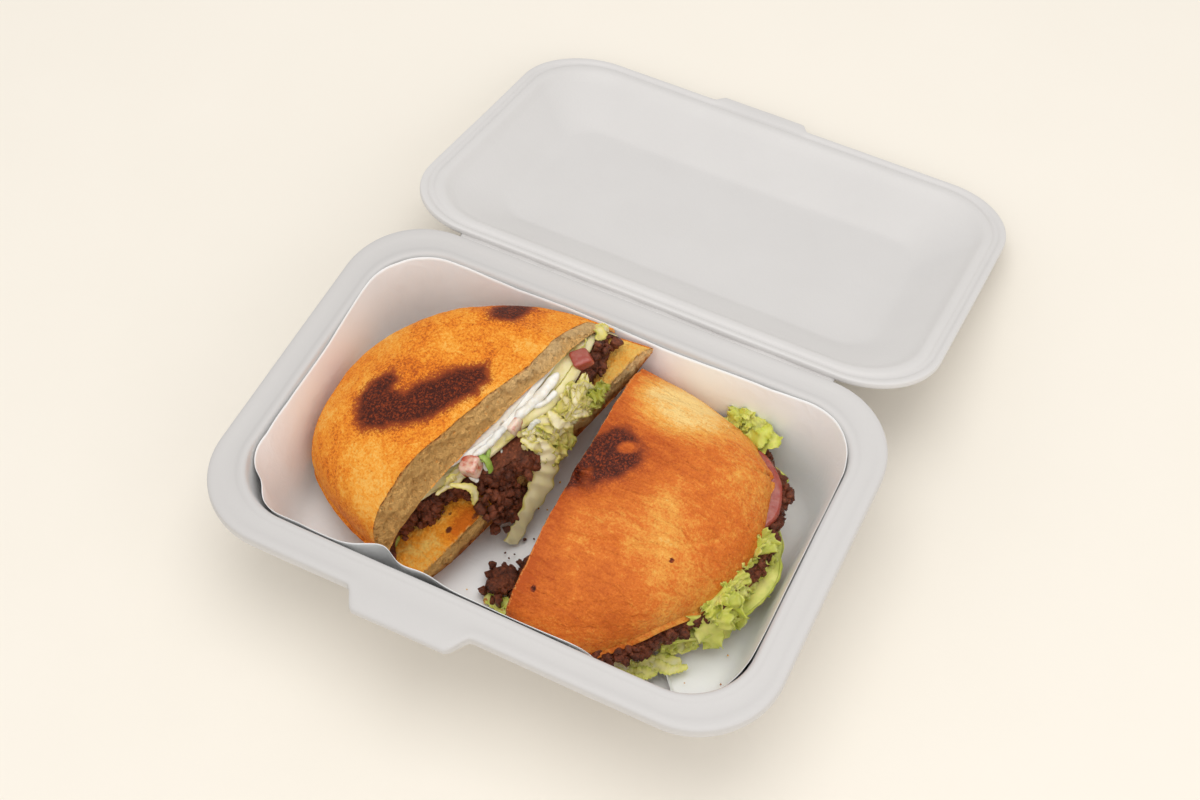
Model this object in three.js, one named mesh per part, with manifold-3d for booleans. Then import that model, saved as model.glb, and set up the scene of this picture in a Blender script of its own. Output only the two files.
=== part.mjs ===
// A torta, cut in two, in a hinged foam takeout box lined with waxed paper.
// Units are millimetres. +X runs along the hinge, +Y points to the hinge, +Z is up.
// The origin is the middle of the tray's flat underside, where the box stands.

import * as THREE from 'three';
import { mergeVertices } from 'three/addons/utils/BufferGeometryUtils.js';
import Module from 'manifold-3d';

const wasm = await Module();
wasm.setup();

// ---- driving dimensions -------------------------------------------------------------

const BOX_LENGTH = 236;          // over the rim, along the hinge
const BOX_WIDTH = 163;           // over the rim, front to hinge
const RIM_HEIGHT = 52;           // tray underside to rim ledge
const LID_DEPTH = 17;            // rim plane to the outside of the lid's panel
const CORNER_RADIUS = 34;        // rim corners, in plan
const FOAM = 2.6;                // foam thickness
const GAP = 0.3;                 // clearance between neighbouring pieces
const LAYER_GAP = 0.85;          // between the soft layers of the torta

const LEDGE = 12.5;              // rim ledge width, outer lip to inner bead
const WALL_TAPER = 9.5;          // how far the walls lean in from ledge to floor
const WAIST = 4.5;                // how far each long wall is drawn in at its foot
const HINGE_OFFSET = 1.6;        // hinge line, outside the back lip
const LID_SETBACK = 1.4;         // hinge line to the lid's own lip
const LID_WIDTH = 159;
const LID_REST_DEG = 196.1;      // lid folded back past flat, its panel edge near the table

const TRAY_TAB = { centre: -16, length: 52, reach: 9, slant: 7 };
const LID_TAB = { centre: -11, length: 47, reach: 5, slant: 4 };

const PAPER = 0.7;               // liner solid thickness
const PAPER_GAP = 0.35;

const CORNER_STEPS = 5;          // facets per rounded corner
const LONG_STEPS = 6;            // facets along a long side
const SHORT_STEPS = 3;           // facets along a short side

const foamWhite = material(0xe9e7e4, 0.55);
const paperWhite = material(0xf2f0ec, 0.45);
const crustLeft = material(0xc8792a, 0.7);
const crustRight = material(0xd58b3c, 0.5);
const crumbTan = material(0xd9b27a, 0.85);
const meatBrown = material(0x4a2a1f, 0.6);
const lettuceGreen = material(0xc9d27f, 0.5);
const creamWhite = material(0xf0ead8, 0.4);
const tomatoRed = material(0xc4533c, 0.35);

function material(color, roughness) {
  return new THREE.MeshStandardMaterial({ color, roughness, metalness: 0 });
}

const group = new THREE.Group();

function addPart(parent, name, geometry, look) {
  const mesh = new THREE.Mesh(geometry, look.clone());
  mesh.name = name;
  parent.add(mesh);
  return mesh;
}

// ---- closed surfaces from rows of points -----------------------------------------------

// Joins rows of points (each a closed ring) into a skin, capped at both ends by a fan.
function loftRings(rings) {
  const count = rings[0].length;
  const points = rings.flat();
  const faces = [];
  for (let row = 0; row + 1 < rings.length; row += 1) {
    for (let k = 0; k < count; k += 1) {
      const next = (k + 1) % count;
      const a = row * count + k;
      const b = row * count + next;
      faces.push(a, b, b + count, a, b + count, a + count);
    }
  }
  const first = points.length;
  points.push(centreOf(rings[0]));
  const last = points.length;
  points.push(centreOf(rings.at(-1)));
  const top = (rings.length - 1) * count;
  for (let k = 0; k < count; k += 1) {
    const next = (k + 1) % count;
    faces.push(first, next, k);
    faces.push(last, top + k, top + next);
  }
  return surface(points, faces);
}

function centreOf(ring) {
  const sum = new THREE.Vector3();
  ring.forEach((point) => sum.add(point));
  return sum.divideScalar(ring.length);
}

function surface(points, faces) {
  const geometry = new THREE.BufferGeometry();
  geometry.setAttribute('position', new THREE.Float32BufferAttribute(points.flatMap((p) => p.toArray()), 3));
  geometry.setIndex(faces);
  geometry.computeVertexNormals();
  return geometry;
}

// ---- manifold joins ----------------------------------------------------------------------

function toSolid(geometry) {
  const bare = geometry.clone();
  bare.deleteAttribute('normal');
  bare.deleteAttribute('uv');
  const merged = mergeVertices(bare, 1e-4);
  return new wasm.Manifold(new wasm.Mesh({
    numProp: 3,
    vertProperties: new Float32Array(merged.attributes.position.array),
    triVerts: new Uint32Array(merged.index.array),
  }));
}

function toGeometry(solid) {
  const mesh = solid.getMesh();
  const geometry = new THREE.BufferGeometry();
  geometry.setAttribute('position', new THREE.BufferAttribute(new Float32Array(mesh.vertProperties), 3));
  geometry.setIndex(new THREE.BufferAttribute(new Uint32Array(mesh.triVerts), 1));
  geometry.computeVertexNormals();
  return geometry;
}

function join(first, second) {
  return toGeometry(toSolid(first).add(toSolid(second)));
}

// ---- the foam box ----------------------------------------------------------------------

// A rounded rectangle of half sizes hx and hy at height z, starting at the middle of the
// right side and running counter-clockwise, with its sides and corners in equal steps.
function roundedRing(hx, hy, radius, z) {
  const ring = [];
  const side = (x0, y0, x1, y1, steps) => {
    for (let k = 0; k < steps; k += 1) {
      const f = k / steps;
      ring.push(new THREE.Vector3(x0 + (x1 - x0) * f, y0 + (y1 - y0) * f, z));
    }
  };
  const corner = (cx, cy, start) => {
    for (let k = 0; k < CORNER_STEPS; k += 1) {
      const angle = start + (Math.PI / 2) * (k / CORNER_STEPS);
      ring.push(new THREE.Vector3(cx + radius * Math.cos(angle), cy + radius * Math.sin(angle), z));
    }
  };
  const cx = hx - radius;
  const cy = hy - radius;
  side(hx, -cy, hx, cy, SHORT_STEPS);
  corner(cx, cy, 0);
  side(cx, hy, -cx, hy, LONG_STEPS);
  corner(-cx, cy, Math.PI / 2);
  side(-hx, cy, -hx, -cy, SHORT_STEPS);
  corner(-cx, -cy, Math.PI);
  side(-cx, -hy, cx, -hy, LONG_STEPS);
  corner(cx, -cy, 1.5 * Math.PI);
  return ring;
}

// A ring set in from a plan of length by width. The corner radius shrinks with the inset.
// drawn pulls the middle of the two long sides inwards.
function insetRing(length, width, insetX, insetY, z, drawn = 0) {
  const radius = Math.max(CORNER_RADIUS - 0.62 * Math.min(insetX, insetY), 9);
  const ring = roundedRing(length / 2 - insetX, width / 2 - insetY, radius, z);
  const reach = length / 2 - insetX - radius;
  ring.forEach((point) => {
    const along = Math.min(Math.abs(point.x) / reach, 1);
    point.y -= Math.sign(point.y) * drawn * Math.cos(0.5 * Math.PI * along) ** 2;
  });
  return ring;
}

// Inset of the tray's inner wall from the rim outline at height z.
function wallInset(z) {
  const fall = (RIM_HEIGHT - z) / (RIM_HEIGHT - FOAM);
  return LEDGE + 1 + WALL_TAPER * THREE.MathUtils.clamp(fall, 0, 1);
}

function waistAt(z) {
  return WAIST * THREE.MathUtils.clamp((RIM_HEIGHT - z) / RIM_HEIGHT, 0, 1);
}

// The rows run from the inside floor, up the walls, over the bead, ledge and lip, and
// down the outside to the underside.
function trayProfile() {
  const top = RIM_HEIGHT;
  return [
    [wallInset(FOAM) + 4.5, FOAM],
    [wallInset(FOAM) + 1.4, FOAM + 1],
    [wallInset(7), 7],
    [wallInset(28), 28],
    [wallInset(top - 1.4), top - 1.4],
    [LEDGE, top + 0.05],
    [LEDGE - 1.8, top + 0.15],
    [LEDGE - 3, top],
    [1.3, top],
    [0, top - 1.3],
    [0, top - 5.6],
    [1.7, top - 5.6],
    [1.9, top - 3],
    [LEDGE - 3, top - 2.8],
    [LEDGE - 1.4, top - 4.4],
    [wallInset(28) - FOAM, 28],
    [wallInset(4) - FOAM, 4],
    [wallInset(0) - FOAM + 1.2, 0.9],
    [wallInset(0) + 1.6, 0],
  ];
}

function trayShell() {
  const rings = trayProfile().map(([inset, z]) => (
    insetRing(BOX_LENGTH, BOX_WIDTH, inset, inset, z, waistAt(z))
  ));
  return loftRings(rings.reverse());
}

// A flat tongue with slanted ends that grows out of a front lip.
function lipTab(frontY, zLow, thickness, { centre, length, reach, slant }) {
  const root = 1.2;
  const side = (sign) => [
    [centre + sign * (length / 2), frontY + root],
    [centre + sign * (length / 2), frontY],
    [centre + sign * (length / 2 - slant * 0.6), frontY - reach * 0.8],
    [centre + sign * (length / 2 - slant), frontY - reach],
  ];
  const outline = [...side(-1), ...side(1).reverse()].map(([x, y]) => new THREE.Vector2(x, y));
  const tab = new THREE.ExtrudeGeometry(new THREE.Shape(outline), { depth: thickness, bevelEnabled: false });
  return tab.translate(0, 0, zLow);
}

// The lid as if shut: its rim plane at z = 0, its panel up at LID_DEPTH, its hinge side
// on +Y. The panel sits further in from the long sides than from the ends.
function lidProfile() {
  return [
    [36, 41, LID_DEPTH - FOAM],
    [31, 37, LID_DEPTH - FOAM - 0.9],
    [12, 13, 3.4],
    [9.6, 9.6, 1],
    [8.4, 8.4, 0],
    [6, 6, 0],
    [4.9, 4.9, 1],
    [3.3, 3.3, 1],
    [2.5, 2.5, 0],
    [0.6, 0.6, 0],
    [0, 0, 0.6],
    [0, 0, 2.7],
    [0.7, 0.7, 3.3],
    [8, 8, 3.4],
    [11, 11.6, 4.8],
    [29, 35, LID_DEPTH - 1.2],
    [33, 39, LID_DEPTH],
  ];
}

function lidShell() {
  const rings = lidProfile().map(([insetX, insetY, z]) => (
    insetRing(BOX_LENGTH, LID_WIDTH, insetX, insetY, z)
  ));
  const shell = loftRings(rings);
  return join(shell, lipTab(-LID_WIDTH / 2, 0.5, 2.3, LID_TAB));
}

// ---- the waxed paper liner ---------------------------------------------------------------

// Height of the paper's edge round the tray. angle is measured round the tray's middle.
function paperEdge(point) {
  const angle = Math.atan2(point.y / BOX_WIDTH, point.x / BOX_LENGTH);
  const waves = 3.2 * Math.sin(3 * angle + 0.6) + 2.2 * Math.sin(7 * angle + 1.9);
  return RIM_HEIGHT - 9 + waves;
}

// How much further in the paper stays where the walls round into the floor.
function cove(z) {
  return 3.4 * Math.exp(-(z - FOAM) / 2.4);
}

// One face of the paper: rings from the floor up to the wavy edge, set off from the foam.
function paperRings(offset) {
  const floor = FOAM + offset;
  const rings = [insetRing(BOX_LENGTH, BOX_WIDTH, wallInset(FOAM) + 5.5 + offset, wallInset(FOAM) + 5.5 + offset,
    floor, waistAt(FOAM))];
  for (const rise of [0.04, 0.2, 0.5, 0.8, 1]) {
    const edge = insetRing(BOX_LENGTH, BOX_WIDTH, 20, 20, 0).map(paperEdge);
    const base = insetRing(BOX_LENGTH, BOX_WIDTH, 20, 20, 0);
    rings.push(base.map((_, k) => {
      const z = floor + 1.2 + (edge[k] - floor) * rise;
      const inset = wallInset(z) + offset * 1.05 + 0.25 + cove(z);
      return insetRing(BOX_LENGTH, BOX_WIDTH, inset, inset, z, waistAt(z))[k];
    }));
  }
  return rings;
}

function linerPaper() {
  const under = paperRings(PAPER_GAP);
  const over = paperRings(PAPER_GAP + PAPER);
  return loftRings([...under, ...over.reverse()]);
}

// ---- how the bread settles in the box -----------------------------------------------------

const FLOOR_TOP = FOAM + PAPER_GAP + PAPER + GAP;
const WALL_CLEAR = 2.2;
const LID_CLEAR = 1;

// Eases value towards limit: unchanged until soft short of it, then never past it.
function easeTo(value, limit, soft) {
  const start = limit - soft;
  if (value <= start) {
    return value;
  }
  return start + soft * (1 - Math.exp(-(value - start) / soft));
}

// Inside height of the shut lid over the point (x, y).
function lidCeiling(x, y) {
  const toEnd = BOX_LENGTH / 2 - Math.abs(x);
  const toSide = BOX_WIDTH / 2 - Math.abs(y);
  const rise = Math.min((toEnd - 12) / 19, (toSide - 13.5) / 24.5, 1);
  return RIM_HEIGHT + 3.4 + (LID_DEPTH - FOAM - 4.2) * rise - LID_CLEAR;
}

// The soft food rests on the paper, leans on the walls and stays under the shut lid.
function settle(point) {
  const lifted = FLOOR_TOP - easeTo(FLOOR_TOP - point.z, 0, 3);
  point.z = easeTo(lifted, lidCeiling(point.x, point.y), 9);
  const inset = wallInset(point.z) + cove(point.z) + WALL_CLEAR;
  const radius = CORNER_RADIUS - 0.62 * inset;
  const straightX = BOX_LENGTH / 2 - inset - radius;
  const straightY = BOX_WIDTH / 2 - inset - waistAt(point.z) - radius;
  const overX = Math.max(Math.abs(point.x) - straightX, 0);
  const overY = Math.max(Math.abs(point.y) - straightY, 0);
  const over = Math.hypot(overX, overY);
  if (over > 0) {
    const kept = easeTo(over, radius, 6) / over;
    point.x = Math.sign(point.x) * (Math.min(Math.abs(point.x), straightX) + overX * kept);
    point.y = Math.sign(point.y) * (Math.min(Math.abs(point.y), straightY) + overY * kept);
  }
  return point;
}

// ---- half a torta, layer by layer ----------------------------------------------------------

// Local frame of a half: u along the cut, v from the cut into the bread, w up.
const leftHalf = {
  a: 67, b: 84, lean: -26, seed: 1.3,
  origin: [-7, 7.5, 26.5], yaw: 70, pitch: 16, tilt: 9, fullness: 4.4,
};
const rightHalf = {
  a: 64, b: 74, lean: -14, seed: 4.1,
  origin: [11, 1, 6], yaw: -90, pitch: -3, tilt: 0, fullness: 3.2,
};

const RINGS = 6;
const SPOKES = 20;

function placement(half) {
  const rad = THREE.MathUtils.degToRad;
  const turn = new THREE.Euler(rad(-half.tilt), rad(-half.pitch), rad(half.yaw), 'ZYX');
  const matrix = new THREE.Matrix4().makeRotationFromEuler(turn);
  return matrix.setPosition(...half.origin);
}

// Smooth unevenness between -1 and 1.
function uneven(seed, x, y) {
  return 0.5 * Math.sin(1.7 * x + seed) * Math.cos(2.3 * y - seed) + 0.5 * Math.sin(3.1 * x - 1.9 * y + 2 * seed);
}

// Plan point of a half. s runs from the cut's middle (0) to the crust (1), t from one end
// of the cut (0) round the crust to the other (pi). face moves the cut edge in or out.
function planPoint(half, s, t, swell, faceAt) {
  const wobble = 1 + 0.022 * uneven(half.seed, 2 * t, 1) * s;
  const grow = (1 + swell(t)) * wobble;
  const v = half.b * s * Math.sin(t) * grow;
  const u = half.a * s * Math.cos(t) * Math.min(grow, 1.03) + half.lean * (s * Math.sin(t)) ** 1.4;
  const face = faceAt(u);
  const nearCut = Math.max(0, 1 - v / (0.55 * half.b)) ** 2;
  return [u, v + face * nearCut];
}

// A layer between the heights low and high, functions of s, t and the plan point (u, v).
// face draws the cut edge back (and slant its upper side further), swell pushes the outline
// out, and bulge rounds the cut face.
function halfLayer(half, { low, high, swell = () => 0, face = () => 0, slant = 0, bulge = 0.8 }) {
  const place = placement(half);
  const points = [];
  const at = (s, t, height) => {
    const lean = height === high ? slant : 0;
    const [u, v] = planPoint(half, s, t, swell, (along) => face(along) + lean);
    points.push(settle(new THREE.Vector3(u, v, height(s, t, u, v)).applyMatrix4(place)));
    return points.length - 1;
  };
  const sheet = (height) => {
    const centre = at(0, Math.PI / 2, height);
    const rows = [];
    for (let i = 1; i <= RINGS; i += 1) {
      const s = Math.sin((i / RINGS) * Math.PI / 2) ** 0.9;
      const row = [];
      for (let k = 0; k <= SPOKES; k += 1) {
        row.push(at(s, (Math.PI * k) / SPOKES, height));
      }
      rows.push(row);
    }
    return { centre, rows };
  };
  const under = sheet(low);
  const over = sheet(high);
  const faces = [];
  const skin = (part, flip) => {
    const tri = (a, b, c) => (flip ? faces.push(a, c, b) : faces.push(a, b, c));
    for (let k = 0; k < SPOKES; k += 1) {
      tri(part.centre, part.rows[0][k], part.rows[0][k + 1]);
      for (let i = 0; i + 1 < RINGS; i += 1) {
        const inner = part.rows[i];
        const outer = part.rows[i + 1];
        tri(inner[k], outer[k], outer[k + 1]);
        tri(inner[k], outer[k + 1], inner[k + 1]);
      }
    }
  };
  skin(over, false);
  skin(under, true);
  for (let k = 0; k < SPOKES; k += 1) {
    const lowRow = under.rows.at(-1);
    const highRow = over.rows.at(-1);
    faces.push(lowRow[k], lowRow[k + 1], highRow[k + 1], lowRow[k], highRow[k + 1], highRow[k]);
  }
  closeCut(points, faces, under, over, place, bulge);
  return surface(points, faces);
}

// The cut face: three rows from the lower edge to the upper one, the middle one bulging.
function closeCut(points, faces, under, over, place, bulge) {
  const line = (part) => [
    ...part.rows.map((row) => row[SPOKES]).reverse(),
    part.centre,
    ...part.rows.map((row) => row[0]),
  ];
  const outwards = new THREE.Vector3(0, -1, 0).transformDirection(place);
  const lowLine = line(under);
  const highLine = line(over);
  const last = lowLine.length - 1;
  const middle = lowLine.map((low, k) => {
    if (k === 0 || k === last) {
      return null;
    }
    const push = bulge * Math.min(k, last - k, 3) / 3;
    points.push(points[low].clone().lerp(points[highLine[k]], 0.5).addScaledVector(outwards, push));
    return points.length - 1;
  });
  for (let k = 0; k < last; k += 1) {
    const corners = [lowLine[k], lowLine[k + 1], middle[k + 1], highLine[k + 1], highLine[k], middle[k]];
    const hub = middle[k] ?? middle[k + 1];
    const rim = corners.filter((corner) => corner !== null);
    const start = rim.indexOf(hub);
    for (let j = 1; j + 1 < rim.length; j += 1) {
      faces.push(hub, rim[(start + j) % rim.length], rim[(start + j + 1) % rim.length]);
    }
  }
}

// ---- the layers' heights, above a half's underside ------------------------------------------

const BOTTOM_BUN = 10;           // bottom bun at the cut
const BUN_EDGE = 9.8;            // bottom bun at the crust

// Each layer as [height at the cut, height at the crust] of its lower and upper side.
const leftLayers = stack([BOTTOM_BUN, BUN_EDGE], {
  meat: [8.6, 1.8],
  lettuce: [4.8, 1.1],
  cream: [2.6, 0.9],
});
const rightLayers = stack([BOTTOM_BUN, BUN_EDGE], {
  lettuce: [4, 2.6],
  meat: [7.2, 6.6],
});

function stack(base, layers) {
  const heights = {};
  let [cut, edge] = base;
  for (const [name, [atCut, atEdge]] of Object.entries(layers)) {
    cut += LAYER_GAP;
    edge += LAYER_GAP;
    heights[name] = { low: [cut, edge], high: [cut + atCut, edge + atEdge] };
    cut += atCut;
    edge += atEdge;
  }
  heights.bun = [cut + LAYER_GAP, edge + LAYER_GAP];
  return heights;
}

// A height that is level inside and eases to its value at the crust. It depends only on
// the plan point, so that neighbouring layers keep an even gap whatever their outlines.
function easeToCrust([cut, edge], { a, b, lean }, u, v) {
  const inward = Math.max(v, 0) / b;
  const outward = Math.min(Math.hypot((u - lean * inward ** 1.4) / a, inward), 1);
  return cut + (edge - cut) * outward ** 4;
}

const bump = (x, centre, width) => Math.exp(-(((x - centre) / width) ** 2));

function bottomBun(half, sag = 0.5) {
  return halfLayer(half, {
    low: (s, t) => 6.5 * s ** 6 + sag * uneven(half.seed, s * 3, t) * (1 - s),
    high: (s, t, u, v) => easeToCrust([BOTTOM_BUN, BUN_EDGE], half, u, v),
    bulge: 0.4,
  });
}

// The domed top of a half: its crust edge turns under to meet the layer below.
function topBun(half, [cut, edge], { thickness, lip, setback, slant }) {
  return halfLayer(half, {
    low: (s, t, u, v) => easeToCrust([cut, edge], half, u, v),
    high: (s, t) => {
      const dome = Math.sqrt(Math.max(0, 1 - s ** half.fullness));
      const rise = cut + thickness - edge - lip;
      return edge + lip + rise * dome * (1 + 0.06 * uneven(half.seed, 3 * s, 2 * t));
    },
    swell: () => 0.012,
    face: (u) => setback * (1 + 0.4 * bump(u, 60, 15)),
    slant,
    bulge: 0.5,
  });
}

// ---- fillings of the left half, seen at its cut ----------------------------------------------

// Tomato dice in the cut face: place along the cut, edge length and turn.
const DICE = [
  { name: 'left_tomato_front', u: -20, size: 7.4, turn: 0.5 },
  { name: 'left_tomato_middle', u: 3, size: 6.8, turn: 0.2 },
  { name: 'left_tomato_back', u: 41, size: 7.8, turn: -0.4 },
];
// The die as it lies between the meat and the top bun. As a cutter it has clearance at its
// sides and reaches right through the layers between them.
const DIE_V = 9.5;
const DIE_MARGIN = 1.2;

function tomatoDie({ u, size, turn }, cutter = false) {
  const meatTop = easeToCrust(leftLayers.meat.high, leftHalf, u, DIE_V);
  const bunUnderside = easeToCrust(leftLayers.bun, leftHalf, u, DIE_V);
  const room = bunUnderside - meatTop;
  const side = cutter ? size + 4 * GAP : size;
  const height = cutter ? room + 2 : Math.min(size, room - 2 * DIE_MARGIN);
  const die = new THREE.BoxGeometry(side, side, height);
  die.rotateZ(turn);
  die.translate(u, DIE_V, meatTop + room / 2);
  return settled(die, leftHalf);
}

// Presses pockets for some pieces, made with clearance, into a soft layer.
function carve(layer, pieces) {
  return toGeometry(pieces.reduce((solid, piece) => solid.subtract(toSolid(piece)), toSolid(layer)));
}

function carveDice(layer) {
  return carve(layer, DICE.map((die) => tomatoDie(die, true)));
}

function leftMeat() {
  const { low, high } = leftLayers.meat;
  return halfLayer(leftHalf, {
    low: (s, t, u, v) => easeToCrust(low, leftHalf, u, v),
    high: (s, t, u, v) => easeToCrust(high, leftHalf, u, v),
    face: (u) => 4 + 13 * bump(u, 60, 15) + 12 * bump(u, -44, 20) - 7 * bump(u, -6, 12) + 1.2 * Math.sin(0.5 * u),
    slant: 2,
    bulge: 2,
  });
}

function leftLettuce() {
  const { low, high } = leftLayers.lettuce;
  return carveDice(halfLayer(leftHalf, {
    low: (s, t, u, v) => easeToCrust(low, leftHalf, u, v),
    high: (s, t, u, v) => easeToCrust(high, leftHalf, u, v),
    face: (u) => 8 + 10 * bump(u, 60, 15) + 9 * bump(u, -44, 20) - 10 * bump(u, 20, 16),
    slant: 2,
    bulge: 1.6,
  }));
}

function leftCream() {
  const { low, high } = leftLayers.cream;
  return carveDice(halfLayer(leftHalf, {
    low: (s, t, u, v) => easeToCrust(low, leftHalf, u, v),
    high: (s, t, u, v) => easeToCrust(high, leftHalf, u, v),
    face: (u) => 11 + 8 * bump(u, 60, 15) + 6 * bump(u, -44, 20) - 2 * bump(u, -6, 22),
    slant: 1,
    bulge: 1,
  }));
}

// Carries a geometry made in a half's own frame to its place in the box.
function settled(geometry, half) {
  const place = placement(half);
  const spots = geometry.attributes.position;
  for (let k = 0; k < spots.count; k += 1) {
    const point = new THREE.Vector3().fromBufferAttribute(spots, k).applyMatrix4(place);
    spots.setXYZ(k, ...settle(point).toArray());
  }
  return geometry;
}

// ---- fillings of the right half, seen round its crust -----------------------------------------

const SLICE = { u: -27, v: 50, radius: 23, thickness: 4.2, proud: 0.6, facets: 28 };

function rightLettuce() {
  const { low, high } = rightLayers.lettuce;
  const ruffle = (s, t) => 1.1 * s ** 6 * Math.sin(19 * t);
  return halfLayer(rightHalf, {
    low: (s, t, u, v) => easeToCrust(low, rightHalf, u, v) + Math.max(0, ruffle(s, t)),
    high: (s, t, u, v) => easeToCrust(high, rightHalf, u, v),
    swell: (t) => 0.02 + 0.16 * bump(t, 2.3, 0.14) + 0.1 * bump(t, 1.86, 0.09)
      + 0.15 * bump(t, 1.05, 0.28) + 0.015 * Math.sin(23 * t),
    face: () => 2,
  });
}

// The meat runs through the half, with the tomato slice pressed into it.
function rightMeat() {
  const { low, high } = rightLayers.meat;
  const meat = halfLayer(rightHalf, {
    low: (s, t, u, v) => easeToCrust(low, rightHalf, u, v),
    high: (s, t, u, v) => easeToCrust(high, rightHalf, u, v),
    swell: (t) => 0.03 + 0.05 * bump(t, 1.45, 0.16) + 0.06 * bump(t, 0.6, 0.2) + 0.04 * bump(t, 2.5, 0.1),
    face: (u) => 1 + 1.4 * Math.sin(0.4 * u),
    bulge: 1.2,
  });
  return carve(meat, [tomatoSlice(GAP)]);
}

// grow adds clearance all round.
function tomatoSlice(grow = 0) {
  const { radius, thickness, facets, u, v } = SLICE;
  const slice = new THREE.CylinderGeometry(radius + grow, radius + grow, thickness + 2 * grow, facets, 1);
  slice.rotateX(Math.PI / 2);
  slice.translate(u, v, rightLayers.meat.high[0] - thickness / 2 + SLICE.proud);
  return settled(slice, rightHalf);
}

// ---- what has dropped on the paper -------------------------------------------------------------

function meatLump() {
  const lump = new THREE.IcosahedronGeometry(1, 2);
  const spots = lump.attributes.position;
  for (let k = 0; k < spots.count; k += 1) {
    const point = new THREE.Vector3().fromBufferAttribute(spots, k);
    point.multiplyScalar(1 + 0.16 * uneven(2.2, 3 * point.x, 3 * point.y + point.z));
    spots.setXYZ(k, point.x * 9.5, point.y * 6.5, point.z * 4.6);
  }
  lump.rotateZ(0.9);
  lump.translate(-4, -35, FLOOR_TOP + 5.8);
  return lump;
}

function droppedLeaf() {
  const outline = new THREE.Shape();
  outline.moveTo(-8, 0);
  outline.quadraticCurveTo(-3, 4.4, 3, 3);
  outline.quadraticCurveTo(6.5, 2.2, 8, -1);
  outline.quadraticCurveTo(2, -3.6, -8, 0);
  const leaf = new THREE.ExtrudeGeometry(outline, { depth: 1.1, bevelEnabled: false, curveSegments: 6 });
  leaf.rotateZ(-0.35);
  leaf.translate(1, -43, FLOOR_TOP + 0.2);
  return leaf;
}

// ---- the whole ------------------------------------------------------------------------------------

const trayBody = join(trayShell(), lipTab(-BOX_WIDTH / 2, RIM_HEIGHT - 4.4, 2.8, TRAY_TAB));
addPart(group, 'tray', trayBody, foamWhite);
addPart(group, 'liner', linerPaper(), paperWhite);

addPart(group, 'left_bottom_bun', bottomBun(leftHalf), crumbTan);
addPart(group, 'left_meat', leftMeat(), meatBrown);
addPart(group, 'left_lettuce', leftLettuce(), lettuceGreen);
addPart(group, 'left_cream', leftCream(), creamWhite);
DICE.forEach((die) => addPart(group, die.name, tomatoDie(die), tomatoRed));
const leftTop = { thickness: 19, lip: 4, setback: 13, slant: 5 };
addPart(group, 'left_top_bun', topBun(leftHalf, leftLayers.bun, leftTop), crustLeft);

addPart(group, 'right_bottom_bun', bottomBun(rightHalf), crumbTan);
addPart(group, 'right_lettuce', rightLettuce(), lettuceGreen);
addPart(group, 'right_meat', rightMeat(), meatBrown);
addPart(group, 'right_tomato_slice', tomatoSlice(), tomatoRed);
const rightTop = { thickness: 24, lip: 4, setback: 0, slant: 1 };
const rightCrown = carve(topBun(rightHalf, rightLayers.bun, rightTop), [tomatoSlice(GAP)]);
addPart(group, 'right_top_bun', rightCrown, crustRight);

addPart(group, 'loose_meat', meatLump(), meatBrown);
addPart(group, 'loose_leaf', droppedLeaf(), lettuceGreen);

const lid = new THREE.Group();
lid.position.set(0, BOX_WIDTH / 2 + HINGE_OFFSET, RIM_HEIGHT + GAP);
lid.rotation.x = -THREE.MathUtils.degToRad(LID_REST_DEG);
addPart(lid, 'lid', lidShell().translate(0, -LID_WIDTH / 2 - LID_SETBACK, 0), foamWhite);
group.add(lid);

export default group;
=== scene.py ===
"""A torta, cut in two, in an open foam takeout box lined with waxed paper."""

import math

import bmesh
import bpy
import numpy as np
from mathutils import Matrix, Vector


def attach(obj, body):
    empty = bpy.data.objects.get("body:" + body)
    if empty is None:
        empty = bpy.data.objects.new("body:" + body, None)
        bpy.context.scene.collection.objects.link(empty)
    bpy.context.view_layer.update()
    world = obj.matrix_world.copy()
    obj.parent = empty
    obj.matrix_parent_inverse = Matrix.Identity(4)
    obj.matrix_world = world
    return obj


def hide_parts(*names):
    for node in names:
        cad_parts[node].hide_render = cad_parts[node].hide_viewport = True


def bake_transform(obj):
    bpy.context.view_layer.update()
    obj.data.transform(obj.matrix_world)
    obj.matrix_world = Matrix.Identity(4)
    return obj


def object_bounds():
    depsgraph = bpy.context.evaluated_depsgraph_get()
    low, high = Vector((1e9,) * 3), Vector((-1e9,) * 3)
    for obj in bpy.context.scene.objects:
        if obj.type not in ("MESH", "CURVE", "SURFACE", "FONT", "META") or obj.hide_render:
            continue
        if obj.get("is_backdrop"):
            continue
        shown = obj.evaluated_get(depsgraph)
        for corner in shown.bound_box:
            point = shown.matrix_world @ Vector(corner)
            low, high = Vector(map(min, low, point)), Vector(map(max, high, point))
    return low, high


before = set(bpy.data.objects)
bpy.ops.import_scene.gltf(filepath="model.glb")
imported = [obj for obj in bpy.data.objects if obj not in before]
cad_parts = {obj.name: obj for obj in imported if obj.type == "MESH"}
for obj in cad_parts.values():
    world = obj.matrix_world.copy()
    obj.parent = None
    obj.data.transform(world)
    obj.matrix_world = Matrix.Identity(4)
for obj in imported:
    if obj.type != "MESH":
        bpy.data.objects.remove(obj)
cad_box = [list(corner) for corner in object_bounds()]

# ---- camera, light and table ---------------------------------------------------------
# The box stands open on a cream table under a large soft window light from behind and
# the left, seen from the front right and well above.

MM = 0.001

view_target = np.array([-0.8, 45.9, 30.0]) * MM
view_distance = 767.9 * MM
view_azimuth = math.radians(26.2)
view_elevation = math.radians(55.7)

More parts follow.
